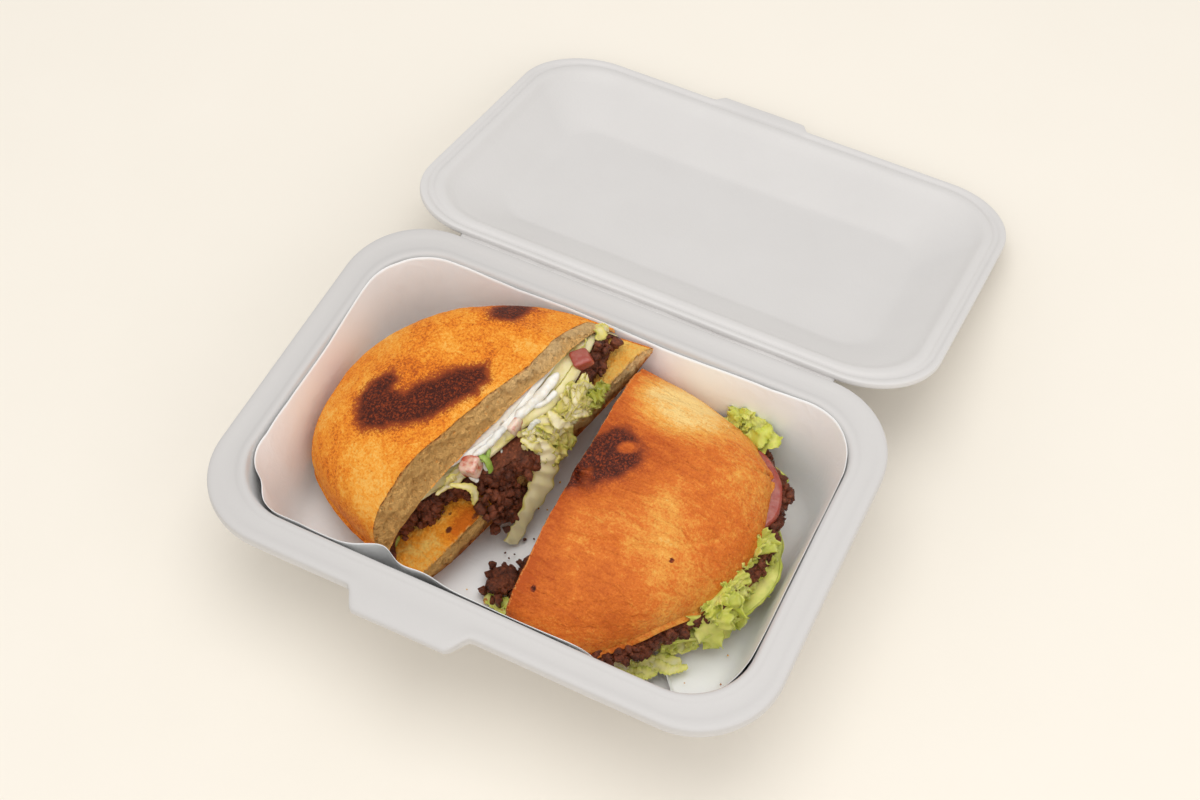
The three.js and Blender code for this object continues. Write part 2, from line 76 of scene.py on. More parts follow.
towards = np.array([
    -math.sin(view_azimuth) * math.cos(view_elevation),
    math.cos(view_azimuth) * math.cos(view_elevation),
    -math.sin(view_elevation),
])
camera_data = bpy.data.cameras.new("camera")
camera_data.lens = 56.9
camera_data.sensor_width = 36
camera = bpy.data.objects.new("camera", camera_data)
camera.location = view_target - towards * view_distance
camera.rotation_euler = (math.pi / 2 - view_elevation, 0, view_azimuth)
bpy.context.collection.objects.link(camera)
bpy.context.scene.camera = camera
bpy.context.scene.view_settings.view_transform = "Standard"


def soft_light(name, place, aim, size, power, tint):
    """A square area light at place, turned so that it looks at aim."""
    data = bpy.data.lights.new(name, "AREA")
    data.size = size
    data.energy = power
    data.color = tint
    lamp = bpy.data.objects.new(name, data)
    lamp.location = place
    direction = lamp.location - type(lamp.location)(aim)
    lamp.rotation_euler = direction.to_track_quat("Z", "Y").to_euler()
    bpy.context.collection.objects.link(lamp)


box_middle = (0, 0.05, 0.03)
warm_white = (1.0, 0.97, 0.94)
soft_light("window", (-0.02, 0.12, 1.3), box_middle, 1.1, 6.6, (1.0, 0.985, 0.96))
soft_light("fill_front", (0.0, -0.95, 0.75), box_middle, 1.2, 2.0, warm_white)
soft_light("fill_right", (0.95, -0.35, 0.6), box_middle, 1.0, 2.2, warm_white)

world = bpy.data.worlds.new("studio")
bpy.context.scene.world = world
world.use_nodes = True
sky = world.node_tree.nodes["Background"]
sky.inputs["Color"].default_value = (0.97, 0.96, 0.95, 1)
sky.inputs["Strength"].default_value = 0.70


def sum_node(operation, swapped=False):
    """A method of Flow that adds one Math node; swapped puts the other value first."""

    def method(self, other):
        first, second = (other, self) if swapped else (self, other)
        return self.finish.node("Math", {"operation": operation}, {0: first, 1: second})

    return method


class Flow:
    """A socket's value on its way through a material. Sums on it add Math nodes."""

    def __init__(self, finish, socket):
        self.finish = finish
        self.socket = socket

    __add__, __radd__ = sum_node("ADD"), sum_node("ADD", swapped=True)
    __sub__, __rsub__ = sum_node("SUBTRACT"), sum_node("SUBTRACT", swapped=True)
    __mul__, __rmul__ = sum_node("MULTIPLY"), sum_node("MULTIPLY", swapped=True)
    at_most, at_least = sum_node("MINIMUM"), sum_node("MAXIMUM")

    def between(self, low, high):
        """0 up to low, 1 from high on, and smooth from one to the other."""
        return self.finish.node(
            "MapRange", {"interpolation_type": "SMOOTHSTEP"},
            {"Value": self, "From Min": low, "From Max": high},
        )


class Finish:
    """A procedural material round one Principled shader."""

    def __init__(self, name, roughness=0.5, **constants):
        self.material = bpy.data.materials.new(name)
        self.material.use_nodes = True
        self.tree = self.material.node_tree
        self.shader = self.tree.nodes["Principled BSDF"]
        self.set(roughness=roughness, **constants)
        self.place = self.node("TexCoord", out="Object")

    def node(self, kind, settings=None, inputs=None, out=0):
        """Adds a node: its settings first, then the values or links of its sockets."""
        made = self.tree.nodes.new("ShaderNode" + kind)
        for key, value in (settings or {}).items():
            if key == "stops":
                self._stops(made.color_ramp, value)
            else:
                setattr(made, key, value)
        for key, value in (inputs or {}).items():
            self._feed(made.inputs[key], value)
        return Flow(self, made.outputs[out])

    def _feed(self, socket, value):
        if isinstance(value, Flow):
            self.tree.links.new(value.socket, socket)
        else:
            socket.default_value = value

    @staticmethod
    def _stops(ramp, stops):
        while len(ramp.elements) < len(stops):
            ramp.elements.new(0.5)
        for element, (position, colour) in zip(ramp.elements, stops):
            element.position = position
            element.color = (*colour, 1)

    def grain(self, size_mm, detail=3.0, roughness=0.55, distortion=0.0, stretch=None):
        """Noise between 0 and 1 with features about size_mm across."""
        place = self.place
        if stretch:
            place = self.node("Mapping", inputs={"Vector": place, "Scale": stretch})
        return self.node("TexNoise", inputs={
            "Vector": place, "Scale": 1000 / size_mm, "Detail": detail,
            "Roughness": roughness, "Distortion": distortion,
        })

    def cells(self, size_mm):
        """Distance to the nearest of scattered points about size_mm apart."""
        return self.node("TexVoronoi", inputs={
            "Vector": self.place, "Scale": 1000 / size_mm,
        })

    def painted(self, name):
        """A value stored at the mesh's points."""
        return self.node("Attribute", {"attribute_name": name}, out="Fac")

    def blend(self, first, second, amount):
        """The first colour where amount is 0 and the second where it is 1."""
        inputs = {0: amount}
        for key, colour in ((6, first), (7, second)):
            inputs[key] = colour if isinstance(colour, Flow) else (*colour, 1)
        return self.node("Mix", {"data_type": "RGBA"}, inputs, out=2)

    def ramp(self, value, stops):
        """Colours at their places along a value."""
        return self.node("ValToRGB", {"stops": stops}, {"Fac": value})

    def relief(self, height, depth_mm, under=None, strength=1.0):
        """Bump of depth_mm over another bump."""
        inputs = {"Height": height, "Distance": depth_mm * MM, "Strength": strength}
        if under is not None:
            inputs["Normal"] = under
        return self.node("Bump", inputs=inputs)

    def set(self, **values):
        """Feeds the shader's sockets, named in lower case, with values or flows."""
        for key, value in values.items():
            name = key.replace("_", " ").title().replace("Ior", "IOR")
            self._feed(self.shader.inputs[name], value)
        return self


def sheet_grid(rows, columns, wrap=False):
    """Corner numbers of the quads of a rows by columns grid of points, row by row."""
    across = columns if wrap else columns - 1
    i, j = np.meshgrid(np.arange(rows - 1), np.arange(across), indexing="ij")
    a = i * columns + j
    b = i * columns + (j + 1) % columns
    return np.stack([a, b, b + columns, a + columns], -1).reshape(-1, 4)


class Skin:
    """Gathers grids of points, with values at the points, into one mesh."""

    def __init__(self):
        self.points, self.faces, self.values, self.count = [], [], {}, 0

    def grid(self, points, wrap=False, flip=False, **values):
        """A rows by columns grid. flip turns its faces round."""
        quads = sheet_grid(points.shape[0], points.shape[1], wrap)
        return self.facets(points.reshape(-1, 3), quads[:, ::-1] if flip else quads, **values)

    def facets(self, points, faces, **values):
        """Any points and faces given by their point numbers."""
        for key in sorted(set(values) | set(self.values)):
            self.values.setdefault(key, [np.zeros(self.count)])
            value = np.asarray(values.get(key, 0.0), float).reshape(-1)
            self.values[key].append(np.broadcast_to(value, points.shape[:1]))
        self.points.append(points)
        self.faces.append(faces + self.count)
        self.count += len(points)
        return self

    def piece(self, name, finish, body, slot, *nodes, merge_mm=0.002):
        """Makes the mesh, in millimetres so far, a piece of the scene that rides on a body."""
        mesh = bpy.data.meshes.new(name)
        points = np.concatenate(self.points) * MM
        faces = [row for block in self.faces for row in block.tolist()]
        mesh.from_pydata(points.tolist(), [], faces)
        for key, parts in self.values.items():
            layer = mesh.attributes.new(key, "FLOAT", "POINT")
            layer.data.foreach_set("value", np.concatenate(parts).astype(np.float32))
        if merge_mm:
            work = bmesh.new()
            work.from_mesh(mesh)
            bmesh.ops.remove_doubles(work, verts=work.verts, dist=merge_mm * MM)
            bmesh.ops.dissolve_degenerate(work, edges=work.edges, dist=merge_mm * MM / 4)
            work.to_mesh(mesh)
            work.free()
        mesh.polygons.foreach_set("use_smooth", np.ones(len(mesh.polygons), bool))
        mesh.materials.append(finish.material)
        made = bpy.data.objects.new(name, mesh)
        bpy.context.collection.objects.link(made)
        if body:
            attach(made, body)
        if nodes:
            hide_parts(*nodes)
        return made


table_paint = Finish("table_paint", roughness=0.9)
cloud = table_paint.grain(60, detail=2)
table_paint.set(
    base_color=table_paint.blend((0.875, 0.825, 0.735), (0.895, 0.845, 0.76), cloud),
    normal=table_paint.relief(table_paint.grain(1.2), 0.02),
)
TABLE_REACH, TABLE_DROP = 4000.0, 0.05
table_x, table_y = np.meshgrid([-TABLE_REACH, TABLE_REACH], [-TABLE_REACH, TABLE_REACH])
table_grid = np.stack([table_x, table_y, 0 * table_x - TABLE_DROP], -1)
table_top = Skin().grid(table_grid).piece("table", table_paint, None, None, merge_mm=0)
table_top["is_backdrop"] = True

# ---- foam tray -----------------------------------------------------------------------
# The deep half of the box, pressed from one sheet of white foam: flat floor, walls that
# lean out, a wide ledge with a rolled inner bead and a turned-down lip, and a tab that
# the lid's lip catches under. The long walls are drawn in towards the foot.

BOX_LENGTH = 236.0
BOX_WIDTH = 163.0
RIM_HEIGHT = 52.0
FOAM = 2.6
LEDGE = 12.5
WALL_TAPER = 9.5
WAIST = 4.5
CORNER_RADIUS = 34.0
RADIUS_LOSS = 0.62
LEAST_RADIUS = 9.0


class RimPlan:
    """Rounded rectangle with the same points round it whatever its size.

    Each point is a corner centre, times the half size less the radius, plus the radius
    along the point's own direction. Along a straight side the centre slides from corner
    to corner and the direction stays."""

    def __init__(self, along_x=110, along_y=64, corner=22):
        slide_x = 1 - 2 * np.arange(along_x) / along_x
        slide_y = 1 - 2 * np.arange(along_y) / along_y
        turn = np.pi / 2 * np.arange(corner) / corner
        parts = []
        for side in range(4):
            angle = side * np.pi / 2
            slide = slide_x if side % 2 else slide_y
            ahead = np.array([-math.sin(angle), math.cos(angle)])
            out = np.array([math.cos(angle), math.sin(angle)])
            middle = np.round(out)[None, :] - slide[:, None] * np.round(ahead)[None, :]
            parts.append(np.hstack([middle, np.tile(out, (len(slide), 1))]))
            round_out = np.stack([np.cos(angle + turn), np.sin(angle + turn)], -1)
            parts.append(np.hstack([np.tile(np.round(out + ahead), (corner, 1)), round_out]))
        self.centre_x, self.centre_y, self.out_x, self.out_y = np.vstack(parts).T
        self.count = len(self.centre_x)

    def rings(self, length, width, inset_x, inset_y, height, drawn=0.0):
        """Rows of points set in from a length by width outline, one row for each inset."""
        inset_x, inset_y, height, drawn = (
            np.asarray(value, float)[..., None] if np.ndim(value) < 2 else value
            for value in np.broadcast_arrays(inset_x, inset_y, height, drawn)
        )
        radius = CORNER_RADIUS - RADIUS_LOSS * np.minimum(inset_x, inset_y)
        radius = np.maximum(radius, LEAST_RADIUS)
        reach_x = length / 2 - inset_x - radius
        reach_y = width / 2 - inset_y - radius
        x = self.centre_x * reach_x + self.out_x * radius
        y = self.centre_y * reach_y + self.out_y * radius
        along = np.minimum(np.abs(x) / reach_x, 1)
        y = y - np.sign(y) * drawn * np.cos(0.5 * np.pi * along) ** 2
        return np.stack(np.broadcast_arrays(x, y, height), -1)


def wall_inset(z):
    """Inset of the tray's inner wall at height z: the ledge, then an even taper."""
    return LEDGE + 1 + WALL_TAPER * np.clip((RIM_HEIGHT - z) / (RIM_HEIGHT - FOAM), 0, 1)


def waist_at(z):
    """How far the long walls are drawn in at height z, in their middle."""
    return WAIST * np.clip((RIM_HEIGHT - z) / RIM_HEIGHT, 0, 1)


def softened(profile, rounds=3):
    """Corner cutting: each round replaces a corner by points a quarter along both its sides."""
    line = np.array(profile, float)
    for _ in range(rounds):
        first = 0.75 * line[:-1] + 0.25 * line[1:]
        second = 0.25 * line[:-1] + 0.75 * line[1:]
        middle = np.stack([first, second], 1).reshape(-1, line.shape[1])
        line = np.vstack([line[:1], middle, line[-1:]])
    return line


def dense(profile, step):
    """The same profile with extra points, so that none are further than step apart."""
    rows = []
    for start, end in zip(profile[:-1], profile[1:]):
        count = max(1, int(np.ceil(np.linalg.norm(end - start) / step)))
        rows.append(start + (end - start) * np.arange(count)[:, None] / count)
    return np.vstack([*rows, profile[-1:]])


def lattice_value(cells, seed):
    """A fixed number between 0 and 1 for each whole-numbered cell, from mixed-up bits."""
    x, y, z = np.moveaxis(cells.astype(np.int64), -1, 0)
    mixed = (x * 73856093) ^ (y * 19349663) ^ (z * 83492791) ^ (seed * 2654435761)
    mixed = ((mixed ^ (mixed >> 13)) * 1274126177) & 0xFFFFFFFF
    return ((mixed ^ (mixed >> 16)) & 0xFFFF) / 65535


def rolling(points, size, seed=0, octaves=1):
    """Smooth unevenness between -1 and 1 with bumps about size across.

    The eight corners of a point's cell have fixed values, blended by the smoothed place in
    the cell. Each further octave has bumps of half the size and half the height."""
    total, weight = 0.0, 0.0
    for octave in range(octaves):
        place = points * (2.0 ** octave / size) + 17.3 * octave
        cell = np.floor(place)
        part = place - cell
        part = part * part * (3 - 2 * part)
        value = 0.0
        for corner in np.ndindex(2, 2, 2):
            share = np.prod(np.where(corner, part, 1 - part), axis=-1)
            value = value + share * lattice_value(cell + corner, seed + octave)
        total = total + (2 * value - 1) * 0.5 ** octave
        weight += 0.5 ** octave
    return total / weight


foam_skin = Finish("foam_skin", roughness=0.42)
foam_bubbles = foam_skin.cells(1.1)
foam_cloud = foam_skin.grain(28, detail=2)
# The base colour paints shade on the tray's ledge: a darker grey where rim is painted, strongest at
# the left end.
foam_skin.set(
    base_color=foam_skin.blend(
        foam_skin.blend((0.65, 0.635, 0.625), (0.69, 0.675, 0.665), foam_cloud),
        (0.575, 0.56, 0.55), foam_skin.painted("rim"),
    ),
    roughness=0.40 + 0.12 * foam_skin.grain(6, detail=2),
    normal=foam_skin.relief(
        foam_bubbles, 0.035,
        under=foam_skin.relief(foam_skin.grain(14, detail=1), 0.25, strength=0.6),
    ),
)

TRAY_TAB = {"centre": -16.0, "length": 52.0, "reach": 9.0, "slant": 7.0}
LID_TAB = {"centre": -11.0, "length": 47.0, "reach": 5.0, "slant": 4.0}


def tab_shape(x, tab):
    """1 on the flat of a tab, 0 beyond it, smooth over the slant at each end."""
    edge = (tab["length"] / 2 - np.abs(x - tab["centre"])) / tab["slant"]
    edge = np.clip(edge, 0, 1)
    return edge * edge * (3 - 2 * edge)


def pull_tab(points, tab, width, root):
    """Draws the front lip out into the tab; the pull fades over root behind the lip."""
    behind = np.clip((points[..., 1] + width / 2) / root, 0, 1)
    pull = tab["reach"] * tab_shape(points[..., 0], tab) * (1 - behind) ** 1.5
    return points - np.stack([np.zeros_like(pull), pull, np.zeros_like(pull)], -1)


tray_section = [
    [46, FOAM], [30, FOAM], [wall_inset(FOAM) + 6, FOAM], [wall_inset(FOAM) + 1.2, FOAM + 0.5],
    [wall_inset(8) + 0.2, 8], [wall_inset(28), 28], [wall_inset(47), 47],
    [LEDGE + 0.9, RIM_HEIGHT - 0.6], [LEDGE - 0.4, RIM_HEIGHT + 0.3],
    [LEDGE - 2.0, RIM_HEIGHT + 0.15], [LEDGE - 3.4, RIM_HEIGHT - 0.5],
    [5.5, RIM_HEIGHT - 0.55], [3.2, RIM_HEIGHT - 0.1], [1.0, RIM_HEIGHT - 0.1],
    [0.0, RIM_HEIGHT - 1.0], [0.0, RIM_HEIGHT - 5.4], [0.9, RIM_HEIGHT - 5.7],
    [1.7, RIM_HEIGHT - 5.4], [1.9, RIM_HEIGHT - 3.2], [LEDGE - 3, RIM_HEIGHT - 2.9],
    [LEDGE - 1.2, RIM_HEIGHT - 4.6],
    [wall_inset(28) - FOAM, 28], [wall_inset(8) - FOAM, 8], [wall_inset(3) - FOAM + 0.4, 2.4],
    [wall_inset(0) - FOAM + 1.8, 0.3], [wall_inset(0) + 2.4, 0], [46, 0],
]
tray_line = dense(softened(tray_section), 2.5)
tray_plan = RimPlan()
tray_inset, tray_height = tray_line.T
tray_points = tray_plan.rings(
    BOX_LENGTH, BOX_WIDTH, tray_inset, tray_inset, tray_height, waist_at(tray_height),
)
on_rim = np.clip((tray_points[..., 2] - RIM_HEIGHT + 9) / 3, 0, 1)[..., None]
tabbed = pull_tab(tray_points, TRAY_TAB, BOX_WIDTH, 7.0)
tray_points = tray_points + (tabbed - tray_points) * on_rim
warp = rolling(tray_points * [1, 1, 0.4], 55, seed=3, octaves=2)
rim_warp = 0.25 * warp * on_rim[..., 0]
tray_points = tray_points + np.stack([0.35 * warp, 0.35 * warp, rim_warp], -1)


def capped(points):
    """A stack of rings with a point in the middle of the first and the last."""
    first = np.broadcast_to(points[:1].mean(axis=1, keepdims=True), points[:1].shape)
    last = np.broadcast_to(points[-1:].mean(axis=1, keepdims=True), points[-1:].shape)
    return np.concatenate([first, points, last])


tray_stack = capped(tray_points)
# Painted shade on the ledge: rises from 47 mm to the top, stronger towards the left end; the foam
# turns darker grey by it.
painted_rim_shade = np.clip((tray_stack[..., 2] - RIM_HEIGHT + 5) / 4, 0, 1)
painted_rim_shade = painted_rim_shade * (0.85 - 0.35 * tray_stack[..., 0] / BOX_LENGTH)
Skin().grid(tray_stack, wrap=True, flip=True, rim=painted_rim_shade).piece(
    "foam_tray", foam_skin, "tray", "foam_box", "tray",
)

# ---- foam lid ------------------------------------------------------------------------
# The shallow half, pressed with the tray and folded back flat past level. Its rim has a
# rolled bead, a groove and a thin lip; the panel is sunk between broad sloping walls.

LID_WIDTH = 159.0
LID_DEPTH = 17.0
LID_OPEN = math.radians(196.1)
HINGE_Y = BOX_WIDTH / 2 + 1.6
HINGE_Z = RIM_HEIGHT + 0.3
LID_SETBACK = 1.4


def opened(points):
    """Turns the shut lid, which lies flat at height 0 over the tray, back about its hinge."""
    y = points[..., 1] - LID_WIDTH / 2 - LID_SETBACK
    z = points[..., 2]
    cosine, sine = math.cos(LID_OPEN), math.sin(LID_OPEN)
    turned_y = HINGE_Y + y * cosine + z * sine
    turned_z = HINGE_Z - y * sine + z * cosine
    return np.stack([points[..., 0], turned_y, turned_z], -1)


lid_section = [
    [48, 52, LID_DEPTH - FOAM], [36, 41, LID_DEPTH - FOAM], [32.5, 38, LID_DEPTH - FOAM - 0.3],
    [28, 34, LID_DEPTH - FOAM - 2.2], [14, 15.5, 4.4], [11.6, 12.2, 2.6], [9.8, 9.8, 0.9],
    [8.6, 8.6, 0.4], [7.2, 7.2, 0.25], [5.9, 5.9, 0.4], [5.0, 5.0, 1.1], [3.6, 3.6, 1.2],
    [2.6, 2.6, 0.3], [1.4, 1.4, 0.0], [0.3, 0.3, 0.2], [0, 0, 0.9], [0, 0, 2.5], [0.8, 0.8, 3.3],
    [8, 8, 3.4], [10.8, 11.3, 4.4], [26, 32, LID_DEPTH - 2.6], [31, 36, LID_DEPTH - 0.3],
    [36, 41, LID_DEPTH], [48, 52, LID_DEPTH],
]
lid_line = dense(softened(lid_section), 2.2)
lid_points = tray_plan.rings(BOX_LENGTH, LID_WIDTH, *lid_line.T)
lid_rim = np.clip(1 - (lid_points[..., 2] - 2.5) / 2.0, 0, 1)[..., None]
lid_tabbed = pull_tab(lid_points, LID_TAB, LID_WIDTH, 5.0)
lid_points = lid_points + (lid_tabbed - lid_points) * lid_rim
lid_warp = rolling(lid_points * [1, 1, 0.4], 48, seed=8, octaves=2)
panel_sag = 0.5 * lid_warp * np.clip(lid_points[..., 2] / 8, 0, 1)
lid_points = lid_points + np.stack([0.3 * lid_warp, 0.3 * lid_warp, panel_sag], -1)
Skin().grid(capped(opened(lid_points)), wrap=True).piece(
    "foam_lid", foam_skin, "lid", "foam_lid", "lid",
)

# ---- hinge ---------------------------------------------------------------------------
# Foam crushed thin between the two back lips: one fixed strip, on neither the tray nor the lid.

WEB_HALF = 84.0
WEB_THICKNESS = 0.6
web_across = np.linspace(0, 1, 13)
web_rise = np.array([
    BOX_WIDTH / 2 - 0.6 + 4.0 * web_across,
    RIM_HEIGHT - 1.9 - 1.5 * np.sin(np.pi * web_across) + 0.6 * web_across,
])
web_x = np.linspace(-WEB_HALF, WEB_HALF, 90)
web_ring = np.vstack([web_rise.T, web_rise.T[::-1] - [0, WEB_THICKNESS]])
web_points = np.empty((len(web_x), len(web_ring), 3))
web_points[..., 0] = web_x[:, None]
web_points[..., 1:] = web_ring
web_points[..., 2] += 0.25 * rolling(web_points * [1, 0, 0], 9, seed=5)
hinge_web = Skin().grid(capped(web_points), wrap=True, flip=True).piece(
    "hinge_web", foam_skin, None, "foam_box",
)
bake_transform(hinge_web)

# ---- waxed paper ---------------------------------------------------------------------
# One thin sheet of white deli paper pushed down into the tray. It lies on the floor,
# climbs the walls to just under the ledge, is pleated where it turns the corners, stands
# away from the front wall and stops short in the front right corner.

PAPER_LIFT = 0.5
FLOOR_Z = FOAM + PAPER_LIFT


def soft_step(value, reach):
    """Nearly 0 below zero and nearly the value itself above, bending over reach."""
    return reach * np.logaddexp(0, value / reach)


def bell(x, centre, width):
    """1 at the centre, falling to nearly 0 at twice the width from it."""
    return np.exp(-(((x - centre) / width) ** 2))


PAPER_ROWS = 64
PAPER_REST = 45.0
PAPER_LEAN, PAPER_RISE = 0.189, 0.982
paper_foot = wall_inset(FOAM) + 2.4
rim_x, rim_y = tray_plan.rings(BOX_LENGTH, BOX_WIDTH, 20, 20, 0.0)[..., :2].reshape(-1, 2).T
bearing = np.degrees(np.arctan2(rim_y / BOX_WIDTH, rim_x / BOX_LENGTH))
climb = 49.2 + 0.7 * np.sin(np.radians(3 * bearing) + 0.6)
climb += 0.5 * np.sin(np.radians(7 * bearing) + 1.9)
climb += -66 * bell(bearing, -50, 8) - 3 * bell(bearing, -143, 4)
share = np.linspace(0, 1, PAPER_ROWS)[:, None]
travel = -PAPER_REST + (climb[None, :] + PAPER_REST) * share
rise = soft_step(travel, 2.6)
inset = paper_foot + soft_step(-travel, 2.6) - PAPER_LEAN * rise
height = FLOOR_Z + PAPER_RISE * rise
up = np.clip(travel / 40, 0, 1.1)

pleats = [
    (118, 7, 2.6), (128, 4, -1.8), (141, 5, 3.4), (152, 6, -1.6),
    (34, 5, 2.4), (44, 4, -1.8), (55, 6, 3.6),
    (-33, 4, 2.0), (-62, 6, 2.6), (-128, 5, 3.2), (-139, 4, -2.0), (-152, 5, 3.6),
    (-163, 7, 1.6), (80, 9, 1.2), (100, 8, 1.3), (-88, 9, 1.6), (-103, 7, 2.2),
    (172, 9, 1.0), (12, 10, 1.2), (-12, 8, 1.0),
]
stand_off = np.zeros_like(travel)
for at, width, depth in pleats:
    stand_off += 0.2 * depth * np.exp(-np.abs(bearing - at) / width)[None, :] * up ** 1.3
stand_off += (4.6 * bell(bearing, -113, 4.5) + 1.4 * bell(bearing, -101, 5))[None, :] * up ** 2
stand_off += (3.0 * bell(bearing, -139, 4))[None, :] * up ** 1.6
inset = inset + np.maximum(stand_off, -0.2 * up) + 0.1 - 2.4 * (1 - np.exp(-rise / 8))
paper_points = tray_plan.rings(BOX_LENGTH, BOX_WIDTH, inset, inset, height, waist_at(height))
in_corner = bell(bearing, -52, 12)[None, :] * np.clip((share - 0.72) / 0.28, 0, 1) ** 2
paper_points[..., 2] += 5.0 * in_corner
crinkle = rolling(paper_points * [1, 1, 0.6], 26, seed=21, octaves=3)
crease = np.abs(rolling(paper_points, 34, seed=33, octaves=2))
paper_points[..., 2] += 0.5 * np.maximum(crinkle, -0.5) * (0.35 + up)
inward = np.stack([-rim_x / 118, -rim_y / 82], -1)[None]
inward = inward * (0.9 * crinkle + 1.2 * crease)[..., None]
paper_points[..., :2] += 0.3 * inward * np.clip(up * (1.7 - up), 0, 1)[..., None]

wax_paper = Finish("wax_paper", roughness=0.36, coat_weight=0.12, coat_roughness=0.3)
fibres = wax_paper.grain(2.2, detail=4, roughness=0.7)
wrinkle = wax_paper.grain(11, detail=3, distortion=1.2)
wax_paper.set(
    base_color=wax_paper.blend((0.92, 0.935, 0.94), (0.95, 0.965, 0.97), wrinkle),
    normal=wax_paper.relief(wrinkle, 0.5, under=wax_paper.relief(fibres, 0.03), strength=0.6),
)
paper_middle = np.broadcast_to([[[0.0, 0.0, FLOOR_Z]]], (1, tray_plan.count, 3))
liner_skin = Skin().grid(np.concatenate([paper_middle, paper_points]), wrap=True, flip=True)
liner = liner_skin.piece("deli_paper", wax_paper, "tray", "waxed_paper", "liner")
thicken = liner.modifiers.new("paper", "SOLIDIFY")
thicken.thickness = 0.12 * MM
thicken.offset = 0

# ---- the roll: both halves -----------------------------------------------------------
# A telera roll, cut across and then slit, holds each half's fillings. Both halves have
# settled into the tray: nothing goes through the paper, the walls or the shut lid.

FLOOR_TOP = FOAM + 1.35


def ease_to(value, limit, soft):
    """The value itself until soft short of limit, then ever closer to limit."""
    start = limit - soft
    over = np.maximum(value - start, 0)
    return np.where(value <= start, value, start + soft * (1 - np.exp(-over / soft)))


def lid_ceiling(x, y):
    """Inside height of the shut lid: its panel, falling along its four sloping walls."""
    to_end = (BOX_LENGTH / 2 - np.abs(x) - 12) / 19
    to_side = (BOX_WIDTH / 2 - np.abs(y) - 13.5) / 24.5
    return RIM_HEIGHT + 2.4 + (LID_DEPTH - FOAM - 4.2) * np.minimum(np.minimum(to_end, to_side), 1)


def settle(points):
    """Eases points above the paper, under the shut lid and inside the rounded walls."""
    x, y, z = np.moveaxis(points, -1, 0)
    z = FLOOR_TOP - ease_to(FLOOR_TOP - z, 0, 3)
    z = ease_to(z, lid_ceiling(x, y), 9)
    inset = wall_inset(z) + 3.4 * np.exp(-(z - FOAM) / 2.4) + 2.2
    radius = CORNER_RADIUS - RADIUS_LOSS * inset
    straight_x = BOX_LENGTH / 2 - inset - radius
    straight_y = BOX_WIDTH / 2 - inset - waist_at(z) - radius
    over_x = np.maximum(np.abs(x) - straight_x, 0)
    over_y = np.maximum(np.abs(y) - straight_y, 0)
    over = np.hypot(over_x, over_y)
    kept = np.where(over > 0, ease_to(over, radius, 6) / np.maximum(over, 1e-9), 1)
    x = np.sign(x) * (np.minimum(np.abs(x), straight_x) + over_x * kept)
    y = np.sign(y) * (np.minimum(np.abs(y), straight_y) + over_y * kept)
    return np.stack([x, y, z], -1)


def waviness(seed, x, y):
    """Two crossed waves, between -1 and 1."""
    return (0.5 * np.sin(1.7 * x + seed) * np.cos(2.3 * y - seed)
            + 0.5 * np.sin(3.1 * x - 1.9 * y + 2 * seed))


def turn_about(axis, angle):
    """Turn matrix about one axis, 0 for x, 1 for y and 2 for z, by an angle in radians."""
    first, second = (axis + 1) % 3, (axis + 2) % 3
    matrix = np.eye(3)
    matrix[first, first] = matrix[second, second] = math.cos(angle)
    matrix[first, second], matrix[second, first] = -math.sin(angle), math.sin(angle)
    return matrix


class Half:
    """One half: u runs along its cut, v from the cut into the bread and w up."""

    def __init__(self, a, b, lean, seed, origin, yaw, pitch, tilt):
        self.a, self.b, self.lean, self.seed = a, b, lean, seed
        self.origin = np.array(origin, float)
        about_x, about_y, about_z = np.radians([-tilt, -pitch, yaw])
        self.turn = turn_about(2, about_z) @ turn_about(1, about_y) @ turn_about(0, about_x)
        self.out = self.turn @ np.array([0.0, -1.0, 0.0])

    def place(self, u, v, w):
        """From the half's own u, v and w to the box, settled."""
        local = np.stack(np.broadcast_arrays(u, v, w), -1).astype(float)
        return settle(local @ self.turn.T + self.origin)

    def loose(self, local):
        """From the half's own frame to the box, without settling."""
        return local @ self.turn.T + self.origin

    def plan(self, s, t, swell, face):
        """Plan point for s from the cut's middle (0) to the crust (1) and t round it.

        An ellipse that leans to one side, swollen and wavy outwards, with its cut edge
        moved by face."""
        grow = (1 + swell(t)) * (1 + 0.022 * waviness(self.seed, 2 * t, 1) * s)
        v = self.b * s * np.sin(t) * grow
        lean = self.lean * np.maximum(s * np.sin(t), 0) ** 1.4
        u = self.a * s * np.cos(t) * np.minimum(grow, 1.03) + lean
        near_cut = np.maximum(0, 1 - v / (0.55 * self.b)) ** 2
        return u, v + face(u) * near_cut

    def level(self, pair, u, v):
        """Height at the plan point: pair[0] inside, easing to pair[1] at the crust."""
        inward = np.maximum(v, 0) / self.b
        outward = np.minimum(np.hypot((u - self.lean * inward ** 1.4) / self.a, inward), 1)
        return pair[0] + (pair[1] - pair[0]) * outward ** 4


left_half = Half(67, 84, -26, 1.3, (-7, 7.5, 26.5), 70, 16, 9)
right_half = Half(64, 74, -14, 4.1, (11, 1, 6), -90, -3, 0)


def unit(vectors):
    """The same directions with length 1."""
    return vectors / np.maximum(np.linalg.norm(vectors, axis=-1, keepdims=True), 1e-9)


POLE_ROWS = 6
TOP_SIDE, OUTER_EDGE, UNDERSIDE = 0.0, 1.0, 2.0


